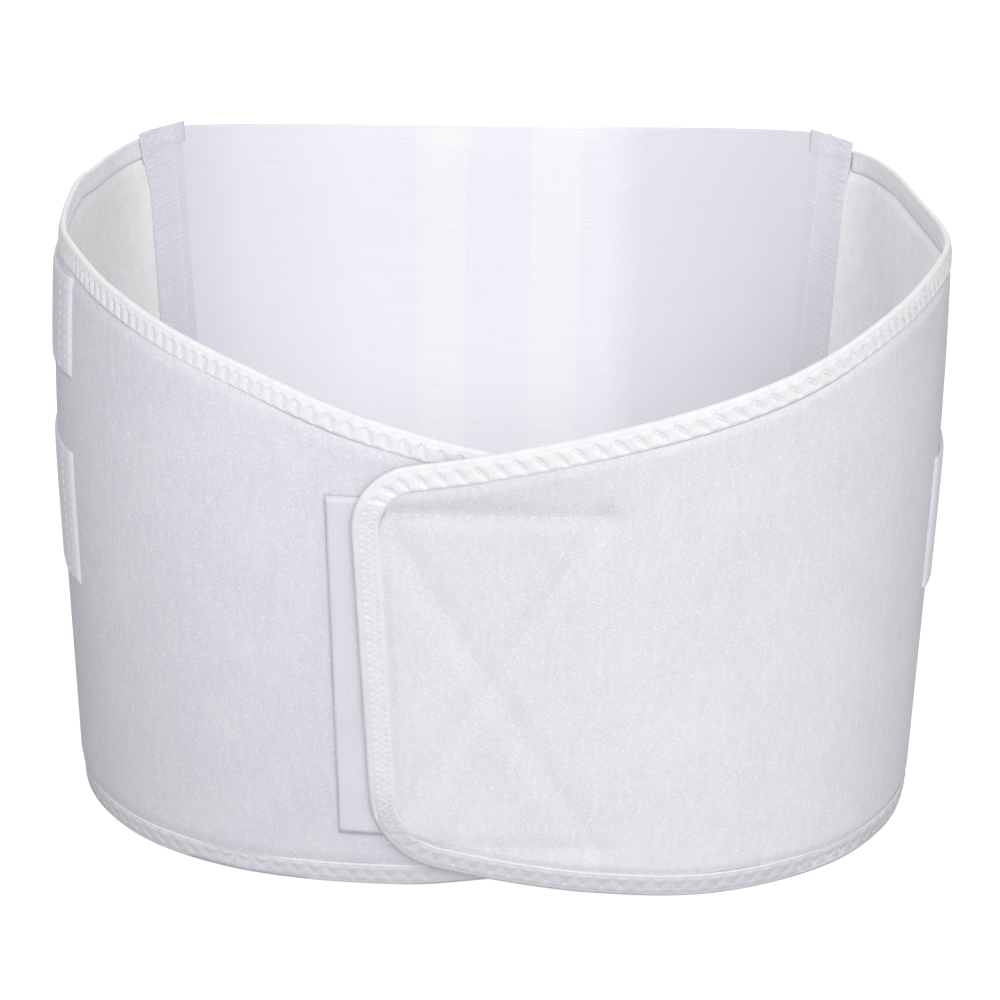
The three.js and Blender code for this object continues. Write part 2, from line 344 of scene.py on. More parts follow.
def add(finish, kind, inputs=None, **settings):
    """One node: inputs are values or sockets by name or number, settings are the node's own choices."""
    node = finish.node_tree.nodes.new("ShaderNode" + kind)
    for key, value in settings.items():
        setattr(node, key, value)
    for key, value in (inputs or {}).items():
        if isinstance(value, bpy.types.NodeSocket):
            finish.node_tree.links.new(value, node.inputs[key])
        else:
            node.inputs[key].default_value = value
    return node


def math_node(finish, operation, first, second):
    return add(finish, "Math", {0: first, 1: second}, operation=operation).outputs[0]


def weighted(finish, *parts):
    """A sum of values, each times its weight."""
    total = None
    for value, weight in parts:
        share = math_node(finish, "MULTIPLY", value, weight)
        total = share if total is None else math_node(finish, "ADD", total, share)
    return total


def axis(finish, vector, name):
    return add(finish, "SeparateXYZ", {"Vector": vector}).outputs[name]


def blend_colour(finish, factor, first, second):
    return add(finish, "Mix", {0: factor, 6: first, 7: second}, data_type="RGBA").outputs[2]


def ramp(finish, value, low, high, to_low=0.0, to_high=1.0):
    """Stretches a value from one range to another, and holds it there."""
    inputs = {"Value": value, "From Min": low, "From Max": high, "To Min": to_low, "To Max": to_high}
    return add(finish, "MapRange", inputs).outputs["Result"]


def noise(finish, vector, scale, detail=2.0):
    return add(finish, "TexNoise", {"Vector": vector, "Scale": scale, "Detail": detail}).outputs["Fac"]


def stretched(finish, vector, scale):
    return add(finish, "Mapping", {"Vector": vector, "Scale": scale}).outputs["Vector"]


def set_surface(finish, shader, colour, height, distance, strength):
    """Joins a colour and a bump height, in metres, to the shader."""
    bump = add(finish, "Bump", {"Height": height, "Distance": distance, "Strength": strength})
    finish.node_tree.links.new(colour, shader.inputs["Base Color"])
    finish.node_tree.links.new(bump.outputs["Normal"], shader.inputs["Normal"])


def object_place(finish):
    return add(finish, "TexCoord").outputs["Object"]


def flat_place(finish):
    """The flat pattern of the piece, in metres: along it and up it."""
    return add(finish, "UVMap", uv_map="pattern").outputs["UV"]


print("finish helpers ready")


# %% Plush: a brushed loop face with a short nap, and tiny fibres with painted glints
# How the fibres with painted glints lie, as turns about the three axes.
FIBRE_TURNS = [(0.6, 0.3, 0.0), (-0.7, 0.5, 0.4), (1.2, -0.4, 0.2)]
# Stretch and count of the cells, how a fibre fades from its middle, and which cells carry a
# painted glint, how much.
FIBRE_SHAPE = (1.0, 1.0, 0.5)
FIBRE_SCALE = 1500.0
FIBRE_FALL = (0.50, 0.12)
FIBRE_CHOICE = (0.72, 1.0, 0.0, 0.6)
FLAP_FADE = 30.0
# The band of painted shade under the tape above the sewn box: its border about the box's top, and
# its fade about the ends.
SHADE_BAND_BORDER = (-2.0, 3.5)
SHADE_BAND_FADE = 12.0
# Heights over which painted light and shade make a panel lighter or darker towards its top.
PANEL_SHADE_SPAN = (40.0, 200.0)


def painted_fibre_glints(finish, place, turn):
    """Painted glints of short fibres that lie one way: long cells of a pattern, of which only a few glint."""
    laid = add(finish, "Mapping", {"Vector": place, "Rotation": turn, "Scale": FIBRE_SHAPE})
    cells = add(finish, "TexVoronoi", {"Vector": laid.outputs["Vector"], "Scale": FIBRE_SCALE})
    chosen = add(finish, "SeparateColor", {"Color": cells.outputs["Color"]}).outputs[0]
    near = ramp(finish, cells.outputs["Distance"], *FIBRE_FALL)
    return math_node(finish, "MULTIPLY", near, ramp(finish, chosen, *FIBRE_CHOICE))


def on_flap_end(finish):
    """1 on the flap, fading to 0 beside its sewn box, from the panel's flat pattern."""
    along = axis(finish, flat_place(finish), "X")
    start = HALF_GIRTH - BOX["right"]
    return ramp(finish, along, (start - FLAP_FADE) * MM, (start + FLAP_FADE) * MM)


def tinted(finish, factor, colour, tint):
    """A colour times a tint, where the factor is 1."""
    inputs = {0: factor, 6: colour, 7: tint}
    return add(finish, "Mix", inputs, data_type="RGBA", blend_type="MULTIPLY").outputs[2]


def shade_band_above_box(finish):
    """1 on the band between the sewn box and the tape above it, where shade under the tape is painted."""
    high = axis(finish, flat_place(finish), "Y")
    rise = ramp(finish, high, *[(BOX["top"] + border) * MM for border in SHADE_BAND_BORDER])
    start, full = HALF_GIRTH - BOX["right"] - SHADE_BAND_FADE, HALF_GIRTH + SHADE_BAND_FADE
    toward = ramp(finish, axis(finish, flat_place(finish), "X"), start * MM, full * MM)
    return math_node(finish, "MULTIPLY", rise, toward)


def make_plush(name, base, shade, glint, heights, flap_tint=None, band_shade=None):
    """The plush of one panel: heights are its painted light and shade, as tones at the bottom and the top."""
    finish, shader = new_finish(name, roughness=0.95, sheen=0.05, specular=0.15)
    place = object_place(finish)
    nap = noise(finish, place, scale=1500.0, detail=3.0)
    brushed = noise(finish, stretched(finish, place, scale=(1.0, 1.0, 0.28)), scale=420.0, detail=3.0)
    clouds = noise(finish, place, scale=45.0)
    tone = weighted(finish, (nap, 0.55), (brushed, 0.45), (clouds, 0.35))
    colour = blend_colour(finish, ramp(finish, tone, low=0.45, high=0.9), shade, base)
    for turn in FIBRE_TURNS:
        colour = blend_colour(finish, painted_fibre_glints(finish, place, turn), colour, glint)
    # Painted light and shade: the panel turns lighter or darker towards its top, as the lamp falls.
    bottom, top = (height * MM for height in PANEL_SHADE_SPAN)
    tone = ramp(finish, axis(finish, place, "Z"), bottom, top, *heights)
    tone = add(finish, "CombineColor", {0: tone, 1: tone, 2: tone}).outputs[0]
    colour = tinted(finish, 1.0, colour, tone)
    if flap_tint:
        colour = tinted(finish, on_flap_end(finish), colour, flap_tint)
        # Painted shade on the band under the tape, above the sewn box.
        colour = tinted(finish, shade_band_above_box(finish), colour, band_shade)
    pile = weighted(finish, (nap, 0.7), (brushed, 0.6))
    set_surface(finish, shader, colour, pile, distance=0.0006, strength=0.55)
    return finish


# The under panel's plush is a darker copy of the flap's: painted shade on the left side.
SHADED_PLUSH = make_plush("plush_face", screen(218, 218, 224), screen(206, 206, 213), screen(240, 240, 244),
                   (0.97, 1.04))
# The flap's plush: its own tint on the flap, and painted shade on the band above the sewn box.
FLAP_PLUSH = make_plush("plush_flap", screen(225, 225, 230), screen(213, 213, 219), screen(246, 246, 249),
                        (1.02, 0.96), (0.985, 1.0, 0.985, 1.0), (0.91, 0.90, 0.91, 1.0))


# %% Lining: a soft brushed knit, a little green and grey, mottled
# The lining to the right of the middle, in the flap panel, is painted slightly lighter: painted
# light on the inside of the right wall.
LINING_PAINTED_LIGHT = (1.08, 1.09, 1.10, 1.0)
LINING_CHANGE = 0.05


def make_lining():
    finish, shader = new_finish("lining_knit", roughness=0.95, sheen=0.1, specular=0.15)
    place = object_place(finish)
    wales = noise(finish, stretched(finish, place, scale=(1.0, 1.0, 0.6)), scale=620.0, detail=3.0)
    clouds = noise(finish, place, scale=130.0, detail=3.0)
    mottled = ramp(finish, weighted(finish, (wales, 0.5), (clouds, 0.5)), low=0.35, high=0.65)
    colour = blend_colour(finish, mottled, screen(232, 233, 232), screen(241, 242, 240))
    # Painted light on the lining of the right side.
    painted_light_right = ramp(finish, axis(finish, place, "X"), -LINING_CHANGE, LINING_CHANGE)
    colour = tinted(finish, painted_light_right, colour, LINING_PAINTED_LIGHT)
    set_surface(finish, shader, colour, wales, distance=0.0004, strength=0.5)
    return finish


LINING = make_lining()


# %% Elastic: ribs along the stretch, with fine threads across them
RIB_PITCH = 1.92


def band(finish, value, low, high, soft):
    """1 between two values, with soft borders."""
    rise = ramp(finish, value, low - soft, low + soft)
    return math_node(finish, "MULTIPLY", rise, ramp(finish, value, high + soft, high - soft))


def make_elastic(name, base, shade, tones_and_shade=None):
    finish, shader = new_finish(name, roughness=0.8, sheen=0.1, specular=0.25)
    along, up = (axis(finish, flat_place(finish), letter) for letter in "XY")
    # The ribs' tone is partly the knit's own lines and partly painted shade in their grooves.
    ribs = math_node(finish, "MULTIPLY", up, 2 * math.pi / (RIB_PITCH * MM))
    ribs = add(finish, "Math", {0: ribs}, operation="SINE").outputs[0]
    uneven = noise(finish, stretched(finish, flat_place(finish), scale=(14.0, 620.0, 1.0)), scale=1.0)
    threads = noise(finish, stretched(finish, flat_place(finish), scale=(900.0, 420.0, 1.0)), scale=1.0)
    tone = weighted(finish, (ribs, 0.14), (uneven, 0.65), (threads, 0.10))
    colour = blend_colour(finish, ramp(finish, tone, low=0.18, high=0.72), shade, base)
    # Each tint is the elastic's own tone or painted light and shade, over a band.
    for left, right, bottom, top, soft, tint in tones_and_shade or []:
        across = band(finish, along, left * MM, right * MM, soft * MM)
        upward = band(finish, up, bottom * MM, top * MM, soft * MM)
        colour = tinted(finish, math_node(finish, "MULTIPLY", across, upward), colour, tint)
    set_surface(finish, shader, colour, threads, distance=0.0002, strength=0.2)
    return finish


# Tones of the back: painted shade darkens both sides towards the seams and painted light brightens
# the lower part, while the doubled channels and the patches at their tops have their own tint.
# Columns: from arc, to arc, from height, to height, softness of the border, tint.
FAR = 400.0
BACK_TONES_AND_SHADE = [
    # Painted shade on the right side.
    (62.0, FAR, -FAR, FAR, 9.0, (0.89, 0.89, 0.895, 1.0)),
    (104.0, FAR, -FAR, FAR, 30.0, (0.91, 0.91, 0.92, 1.0)),
    # Painted shade on the left side, deeper near the hem.
    (-FAR, -100.0, -FAR, FAR, 34.0, (0.89, 0.89, 0.90, 1.0)),
    (-FAR, -136.0, -FAR, FAR, 16.0, (0.90, 0.90, 0.91, 1.0)),
    # The elastic's own tint, outside the doubled channels.
    (-FAR, -37.0, -FAR, FAR, 1.5, (0.975, 0.965, 1.0, 1.0)),
    (-14.7, 17.7, -FAR, FAR, 1.5, (0.975, 0.965, 1.0, 1.0)),
    (40.3, FAR, -FAR, FAR, 1.5, (0.975, 0.965, 1.0, 1.0)),
    # Painted light on the lower part.
    (-FAR, FAR, -FAR, 150.0, 50.0, (1.08, 1.08, 1.08, 1.0)),
    # Lighter patches at the tops of the channels.
    (-31.4, -10.0, 223.7, 232.9, 1.0, (1.02, 1.02, 1.0, 1.0)),
    (22.9, 49.0, 229.5, 240.0, 1.0, (1.02, 1.02, 1.0, 1.0)),
]
ELASTIC = make_elastic("elastic_white", screen(248, 248, 253), screen(244, 244, 250))
BACK_ELASTIC = make_elastic("elastic_back", screen(246, 247, 249), screen(241, 242, 245), BACK_TONES_AND_SHADE)
STRAP_ELASTIC = make_elastic("elastic_strap", screen(222, 222, 228), screen(214, 214, 221))
# Darker copies of the white elastic, the left one darker still: painted shade in the corners by the seams.
SHADED_HEM_ELASTIC = {
    -1: make_elastic("elastic_left_hem_shaded", screen(222, 222, 230), screen(212, 212, 221)),
    1: make_elastic("elastic_right_hem_shaded", screen(229, 229, 236), screen(219, 219, 227)),
}


# %% Edge tape, thread and hook tape
# Along the bottom the tape is painted darker: painted shade, where the bottom run faces down.
LOW_PAINTED_SHADE = (0.80, 0.785, 0.825, 1.0)


def make_tape(name, shade, base):
    finish, shader = new_finish(name, roughness=0.8, sheen=0.1, specular=0.25)
    cords = noise(finish, stretched(finish, flat_place(finish), scale=(1500.0, 260.0, 1.0)), scale=1.0)
    clouds = noise(finish, object_place(finish), scale=150.0)
    tone = weighted(finish, (cords, 0.6), (clouds, 0.4))
    colour = blend_colour(finish, ramp(finish, tone, low=0.3, high=0.7), shade, base)
    # The low attribute carries painted shade along the bottom of the tape.
    low = add(finish, "Attribute", attribute_name="low").outputs["Fac"]
    colour = tinted(finish, low, colour, LOW_PAINTED_SHADE)
    set_surface(finish, shader, colour, cords, distance=0.0002, strength=0.4)
    return finish


def make_thread(name, shade, base):
    finish, shader = new_finish(name, roughness=0.5, sheen=0.1, specular=0.4)
    twist = noise(finish, object_place(finish), scale=3000.0, detail=1.0)
    colour = blend_colour(finish, twist, shade, base)
    set_surface(finish, shader, colour, twist, distance=0.0001, strength=0.4)
    return finish


def make_hooks():
    finish, shader = new_finish("hook_tape", roughness=0.55, sheen=0.0, specular=0.4)
    place = object_place(finish)
    cells = add(finish, "TexVoronoi", {"Vector": place, "Scale": 800.0, "Randomness": 0.35})
    rows = cells.outputs["Distance"]
    tone = weighted(finish, (rows, 0.5), (noise(finish, place, scale=90.0), 0.5))
    tone = ramp(finish, tone, low=0.2, high=0.7)
    colour = blend_colour(finish, tone, screen(217, 217, 224), screen(209, 209, 217))
    set_surface(finish, shader, colour, rows, distance=0.0004, strength=0.4)
    return finish


TAPE = make_tape("edge_tape_knit", screen(220, 220, 222), screen(232, 232, 233))
TAPE_INSIDE = make_tape("edge_tape_inside", screen(230, 230, 233), screen(240, 240, 242))
THREAD = make_thread("sewing_thread", screen(240, 240, 245), screen(253, 253, 255))
# A darker copy of the sewing thread: painted shade where the thread lies sunk in nap and tape.
SHADED_THREAD = make_thread("sunk_thread_shaded", screen(228, 228, 232), screen(241, 241, 245))
HOOKS = make_hooks()

FLOOR_COLOUR = screen(140, 140, 142)
FLOOR_GLOW = 0.86
floor_finish, floor_shader = new_finish("studio_white", roughness=1.0, specular=0.0)
floor_shader.inputs["Base Color"].default_value = FLOOR_COLOUR
floor_shader.inputs["Emission Color"].default_value = (1.0, 1.0, 1.0, 1.0)
floor_shader.inputs["Emission Strength"].default_value = FLOOR_GLOW
floor.data.materials.append(floor_finish)
print("finishes:", [finish.name for finish in bpy.data.materials if finish.users])

# %% [markdown]
# ## Cloth from a flat grid
# A sheet could be extruded edge by edge, but a grid that is bent into place keeps even faces and its
# flat pattern. `bend` makes the grid with a bmesh operator, moves its vertices, stores the flat place
# as UVs for the weave, and turns the faces outwards. Solidify then gives the cloth its thickness.


# %% Helpers for sheets
def bend(name, columns, rows, place, inward=False):
    """A grid bent into a sheet: place gives each point and its flat pattern from fractions 0 to 1.

    It gives the piece, and the flat place of each of its vertices in metres.
    """
    cloth = bmesh.new()
    bmesh.ops.create_grid(cloth, x_segments=columns, y_segments=rows, size=0.5)
    mesh = bpy.data.meshes.new(name)
    cloth.to_mesh(mesh)
    cloth.free()
    flat = np.empty(3 * len(mesh.vertices))
    mesh.vertices.foreach_get("co", flat)
    along, up = flat.reshape(-1, 3).T[:2] + 0.5
    points, pattern = place(along, up)
    mesh.vertices.foreach_set("co", points.ravel())
    corner = np.empty(len(mesh.loops), dtype=np.int32)
    mesh.loops.foreach_get("vertex_index", corner)
    layer = mesh.uv_layers.new(name="pattern")
    layer.data.foreach_set("uv", pattern[corner].ravel())
    mesh.update()
    middle = mesh.polygons[len(mesh.polygons) // 2]
    outward = middle.normal.x * middle.center.x + middle.normal.y * middle.center.y
    if (outward < 0) != inward:
        mesh.flip_normals()
    mesh.polygons.foreach_set("use_smooth", np.ones(len(mesh.polygons), dtype=bool))
    mesh.update()
    return new_object(name, mesh), pattern


def thicken(piece, thickness, inner_finish=None):
    """Gives a sheet its thickness, behind its face, with its own finish on the back where it has one."""
    solid = piece.modifiers.new("thickness", "SOLIDIFY")
    solid.thickness = thickness * MM
    solid.offset = -1.0
    if inner_finish:
        piece.data.materials.append(inner_finish)
        solid.material_offset = 1
        solid.material_offset_rim = 0


def register(piece, slot, *nodes):
    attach(piece, "root")
    if nodes:
        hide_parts(*nodes)


def make_sheet(name, grid, place, finish, thickness, slot, node, inward=False):
    """A sheet of one cloth, bent, thickened and put in place of its node."""
    piece, _ = bend(name, *grid, place, inward)
    piece.data.materials.append(finish)
    thicken(piece, thickness)
    register(piece, slot, node)
    return piece


print("sheet helpers ready")

# %% [markdown]
# ## Panels
# A panel is foam between plush and a thin lining. On the real one the plush face is pressed down under
# the edge tape, waves a little from standing, and stands up over the hook patch that is sewn behind the
# flap with a boxed cross. Those are heights added to the face before it is wrapped.

# %% Relief of the plush face
PATCH_RISE = 0.25
RIDGE_RISE = 0.45
EDGE_THICKNESS = 1.4
PINCH_DEPTH = (PANEL_THICKNESS - EDGE_THICKNESS) / 2
TAPE_REACH = {-1: 8.7, 1: 9.0}
# Where the foam starts to be pressed beside the tape, and where it is pressed flat, past the tape's border.
PRESS_FADE = (3.5, -0.6)
# Border of the raised box, outside and inside its stitches.
BOX_BORDER = (-1.0, 6.0)
# The ridge above the box: how soon it rises, how it fades to the right, and how it clears the tape.
RIDGE_CLIMB = 9.0
RIDGE_FADE = 15.0
RIDGE_CLEAR = (-0.2, 1.5)

# Soft waves of the standing cloth, which lean a little.
WAVE_LEAN = 0.06
WAVE_MIDDLE = 100.0
# Columns: side, place before the front centre, width, height of the wave.
WAVES = [
    (-1, 60.0, 16.0, -0.45), (-1, 104.0, 18.0, 0.50), (-1, 150.0, 20.0, -0.40), (-1, 205.0, 24.0, 0.45),
    (1, 96.0, 22.0, -0.45), (1, 140.0, 18.0, 0.40), (1, 190.0, 22.0, -0.35), (1, 240.0, 24.0, 0.40),
]


def to_edge(side, arc, height):
    """About how far a flat point lies inside the cloth's nearest bound edge."""
    column = arc - (1 - seam_share(arc)) * end_shift(height)
    above = height - cloth_bottom(side, column)
    below = cloth_top(side, column) - height
    return np.minimum(np.minimum(above, below), CLOTH_END - column)


def hump(away, width):
    """A soft rise: 1 at its middle, fading to nothing beyond its width."""
    return np.exp(-((away / width) ** 2))


def line_distance(px, py, ax, ay, bx, by):
    """Distance of flat points from a straight row of stitches."""
    run_x, run_y = bx - ax, by - ay
    share = np.clip(((px - ax) * run_x + (py - ay) * run_y) / (run_x**2 + run_y**2), 0.0, 1.0)
    return np.hypot(px - ax - share * run_x, py - ay - share * run_y)


def box_rows():
    """Rows of the boxed cross: two ends, as arc past the front centre and height, and depth and width."""
    left, right, bottom, top = BOX["left"], -BOX["right"], BOX["bottom"], BOX["top"]
    return [
        ((left, top), (right, top), 0.45, 4.0),
        ((left, bottom), (right, bottom), 0.45, 4.0),
        ((left, bottom), (left, top), 0.15, 3.0),
        ((right, bottom), (right, top), 0.20, 3.5),
        ((left, bottom), (right, top), 0.82, 5.0),
        ((left, top), (right, bottom), 0.86, 5.4),
    ]


def pressed(side, arc, height):
    """1 under the edge tape, where the foam is pressed thin, fading to 0 beside it."""
    return fade(to_edge(side, arc, height), *[TAPE_REACH[side] + past for past in PRESS_FADE])


def plush_relief(side, arc, height):
    """How far the plush face stands out from the plain panel."""
    relief = -PINCH_DEPTH * pressed(side, arc, height)
    for wave_side, before, width, rise in WAVES:
        if wave_side == side:
            drift = WAVE_LEAN * (height - WAVE_MIDDLE)
            relief = relief + rise * hump(HALF_GIRTH - arc - before - drift, width)
    if side > 0:
        beyond = arc - HALF_GIRTH
        inside = 1.0
        for within in (beyond + BOX["right"], height - BOX["bottom"], BOX["top"] - height):
            inside = inside * fade(within, *BOX_BORDER)
        ridge = fade(height - BOX["top"], 0.0, RIDGE_CLIMB) * fade(beyond, -BOX["right"] - RIDGE_FADE, 0.0)
        clear = fade(to_edge(side, arc, height) - TAPE_REACH[side], *RIDGE_CLEAR)
        relief = relief + PATCH_RISE * inside + RIDGE_RISE * ridge * clear
        for start, end, furrow, width in box_rows():
            relief = relief - furrow * hump(line_distance(beyond, height, *start, *end), width)
    return relief


def plush_face(side, arc, height):
    """Depth of the plush face from the inner face of the wall."""
    return flap_depth(side, arc) + PANEL_THICKNESS + plush_relief(side, arc, height)


print("rows of the boxed cross:", len(box_rows()))

# %% Panels of plush
# Columns: side, node, columns beside the back, columns near the end, rows.
PANELS = [(-1, "under_panel", 130, 30, 94), (1, "over_panel", 110, 84, 150)]
FINE_FROM = 58.0


def make_panel(side, node, coarse, fine, rows):
    fine_start = HALF_GIRTH - FINE_FROM
    stops = np.concatenate([np.linspace(CLOTH_START, fine_start, coarse, endpoint=False),
                            np.linspace(fine_start, CLOTH_END, fine + 1)])

    def place(along, up):
        column = stops[np.rint(along * (len(stops) - 1)).astype(int)]
        height = cloth_bottom(side, column) + up * (cloth_top(side, column) - cloth_bottom(side, column))
        arc = column_arc(column, height)
        points = wrap(side * arc, height, plush_face(side, arc, height))
        return points, MM * np.stack([arc, height], axis=-1)

    piece, pattern = bend(node + "_plush", len(stops) - 1, rows, place)
    piece.data.materials.append(FLAP_PLUSH if side > 0 else SHADED_PLUSH)
    thicken(piece, PANEL_THICKNESS, LINING)
    foam = 1 - (1 - EDGE_THICKNESS / PANEL_THICKNESS) * pressed(side, *pattern.T / MM)
    group = piece.vertex_groups.new(name="foam")
    for index, share in enumerate(foam):
        group.add([index], share, "REPLACE")
    piece.modifiers["thickness"].vertex_group = group.name
    register(piece, "plush", node)
    return piece


panels = {side: make_panel(side, *sizes) for side, *sizes in PANELS}
print("panels:", {piece.name: len(piece.data.polygons) for piece in panels.values()})

# %% [markdown]
# ## Edge tape
# A knitted tape is folded over each panel's raw edge and held by a zigzag stitch that pulls it into
# puffs. It could be a curve with a bevel, but the puffs need real relief, so a grid runs along the edge
# and once round the tape's folded section, is closed into a tube, and its face is pressed in along the
# zigzag, deepest where the needle went through.

# %% Path of the bound edge
TAPE_STEP = 0.72
TAPE_START = CLOTH_START + 12.0
EDGE_STEPS = 400
CORNER_STEPS = 24


def bound_edge(side):
    """Flat stations along the top edge, round the panel's end and back along the bottom edge."""
    angle = np.linspace(0.0, math.pi / 2, CORNER_STEPS + 1)
    top_run = np.linspace(TAPE_START, CLOTH_END - CORNER_TOP, EDGE_STEPS)
    bottom_run = np.linspace(TAPE_START, CLOTH_END - CORNER_BOTTOM, EDGE_STEPS)
    top = np.concatenate([top_run, CLOTH_END - CORNER_TOP * (1 - np.sin(angle[1:]))])
    bottom = np.concatenate([bottom_run, CLOTH_END - CORNER_BOTTOM * (1 - np.sin(angle[1:]))])[::-1]
    end_heights = np.linspace(cloth_top(side, CLOTH_END), cloth_bottom(side, CLOTH_END), EDGE_STEPS)[1:-1]
    columns = np.concatenate([top, np.full(len(end_heights), CLOTH_END), bottom])
    heights = np.concatenate([cloth_top(side, top), end_heights, cloth_bottom(side, bottom)])
    arcs = column_arc(columns, heights)
    length = np.concatenate([[0.0], np.cumsum(np.hypot(np.diff(arcs), np.diff(heights)))])
    run = np.linspace(0.0, length[-1], int(length[-1] / TAPE_STEP) + 1)
    edge = {"run": run}
    for name, values in [("column", columns), ("arc", arcs), ("height", heights)]:
        edge[name] = np.interp(run, length, values)
    ahead = np.stack([np.gradient(edge["arc"], run), np.gradient(edge["height"], run)])
    edge["ahead_arc"], edge["ahead_height"] = ahead / np.hypot(*ahead)
    return edge


edges = {side: bound_edge(side) for side in (-1, 1)}


def at_run(side, run, *names):
    """What the stations of the bound edge say at a run along it."""
    return [np.interp(run, edges[side]["run"], edges[side][name]) for name in names]


def on_tape(side, run, inset):
    """Flat place of a point on the tape: run along it, and inset from the cloth's edge."""
    arc, height, ahead_arc, ahead_height = at_run(side, run, "arc", "height", "ahead_arc", "ahead_height")
    return arc + inset * ahead_height, height - inset * ahead_arc


print("edge tape lengths in mm:", {side: round(edge["run"][-1]) for side, edge in edges.items()})

# %% Zigzag of the edge tape
ZIGZAG_ROWS = (0.32, 0.76)
CUSHION = 0.40
# Stitch length along each top edge, from near the front to the sides, and along the bottom and the end.
TOP_PITCH = {
    -1: ((62.0, 6.8), (82.0, 4.3), (170.0, 4.4)),
    1: ((60.0, 7.0), (112.0, 6.6), (142.0, 4.2)),
}
BOTTOM_PITCH = 7.15
END_PITCH = 5.2
# Valleys under the legs of the zigzag: depth and width. Along the top one leg pulls harder, along the
# bottom both pull alike, and at the panel's end two threads cross.
HARD_LEG = (0.78, 1.25)
SOFT_LEG = (0.14, 0.70)
LOW_LEG = (0.42, 1.30)
END_LEG = (0.36, 0.55)
# Painted shade on the tape round the panel's end, as a share of that along the bottom.
END_PAINTED_SHADE = 0.30
# Depth of the needle holes in the inner and the outer row, and their width.
HOLES = (0.15, 0.32)
HOLE_WIDTH = 0.6
# Shares of the tape's reach between which the puffs rise and fall, and the holes fade out.
PUFF_START = (0.10, 0.28)
PUFF_STOP = (0.92, 0.80)
HOLE_STOP = (0.92, 0.82)
# The tape's border stands up a little, and has a groove beside it along the bottom: rise or depth,
# distance from the border, width.
LIP = (0.20, 0.45, 0.40)
LIP_GROOVE = (0.45, 1.25, 0.50)
# Before the panel's end, where the stitch changes, and heights between which the bottom run starts.
END_FADE = (6.0, 2.0)
LOW_FADE = (60.0, 30.0)
for side, edge in edges.items():
    at_end = fade(CLOTH_END - edge["column"], *END_FADE)
    edge["low"] = fade(edge["height"], *LOW_FADE)
    pitch = np.interp(HALF_GIRTH - edge["column"], *zip(*TOP_PITCH[side]))
    pitch = pitch + (BOTTOM_PITCH - pitch) * edge["low"]
    edge["pitch"] = pitch + (END_PITCH - pitch) * at_end
    edge["end"] = at_end
    edge["phase"] = np.cumsum(TAPE_STEP / edge["pitch"])


def zigzag_inset(side, phase):
    """Inset of the zigzag thread at a phase: half a turn goes across the tape, half comes back."""
    share = ZIGZAG_ROWS[0] + (ZIGZAG_ROWS[1] - ZIGZAG_ROWS[0]) * 2 * np.abs(phase % 1.0 - 0.5)
    return TAPE_REACH[side] * share


def zigzag_relief(side, run, inset):
    """How the stitch shapes the tape: a valley under each leg, a pit at each needle hole, puffs between."""
    reach = TAPE_REACH[side]
    outer_row, inner_row = reach * ZIGZAG_ROWS[0], reach * ZIGZAG_ROWS[1]
    phase, pitch, low, at_end = at_run(side, run, "phase", "pitch", "low", "end")
    slope = 2 * (inner_row - outer_row) / pitch
    steep = np.sqrt(1 + slope**2)
    away = np.abs(inset - zigzag_inset(side, phase)) / steep
    crossing = np.abs(inset - zigzag_inset(side, phase + 0.5)) / steep
    hard = (phase % 1.0 < 0.5) != (side < 0)
    legs = [(np.where(hard, *pair[:2]), pair[2]) for pair in zip(HARD_LEG, SOFT_LEG, LOW_LEG)]
    depth, width = (top + (bottom - top) * low for top, bottom in legs)
    valley = depth * np.sqrt(pitch / BOTTOM_PITCH) * hump(away, width)
    mesh = END_LEG[0] * hump(np.minimum(away, crossing), END_LEG[1])
    valley = valley + (mesh - valley) * at_end
    inner_hole = np.hypot((phase - np.rint(phase)) * pitch, inset - inner_row)
    outer_hole = np.hypot((phase - np.floor(phase) - 0.5) * pitch, inset - outer_row)
    pit = HOLES[0] * hump(inner_hole, HOLE_WIDTH) + HOLES[1] * hump(outer_hole, HOLE_WIDTH)
    zone = fade(inset / reach, *PUFF_START) * fade(inset / reach, *PUFF_STOP)
    lip, groove = (size * hump(reach - inset - place, wide) for size, place, wide in (LIP, LIP_GROOVE))
    return zone * (CUSHION - valley) - pit * fade(inset / reach, *HOLE_STOP) + lip - low * groove


print("zigzag stitches along each tape:", [int(edge["phase"][-1]) for edge in edges.values()])

# %% Tape mesh
OUTER_LEG = 23
FOLD_POINTS = 9
INNER_LEG = 11
BACK_POINTS = 3
TAPE_CLOTH = 0.6
TAPE_FACE = PANEL_THICKNESS - PINCH_DEPTH + TAPE_CLOTH
TAPE_BACK = PINCH_DEPTH - TAPE_CLOTH
TAPE_ROLL = 1.7
TAPE_LINE = 0.45
TURN_UNDER = 0.6
INNER_SHARE = -0.20
FOLD_ROUNDNESS = 0.8
# How the borders of the face and of the back curl in towards the panel: by how much, and over what width.
FACE_CURL = (0.9, 0.9)
BACK_CURL = (0.75, 1.4)
# The tape's own inner face: where it ends near the fold, and how far it stands off the pressed foam.
INNER_START = 0.6
FOAM_GAP = 0.12
# Near the border the painted shade along the bottom fades, as the border catches the light.
LIP_FADE = (1.2, 0.6)
LIP_CLEAN = 0.8
# The step of the flat pattern that closes the tube, and the distance under which its ends are one.
CLOSING_STEP = 1.0
MERGE_DISTANCE = 1e-6


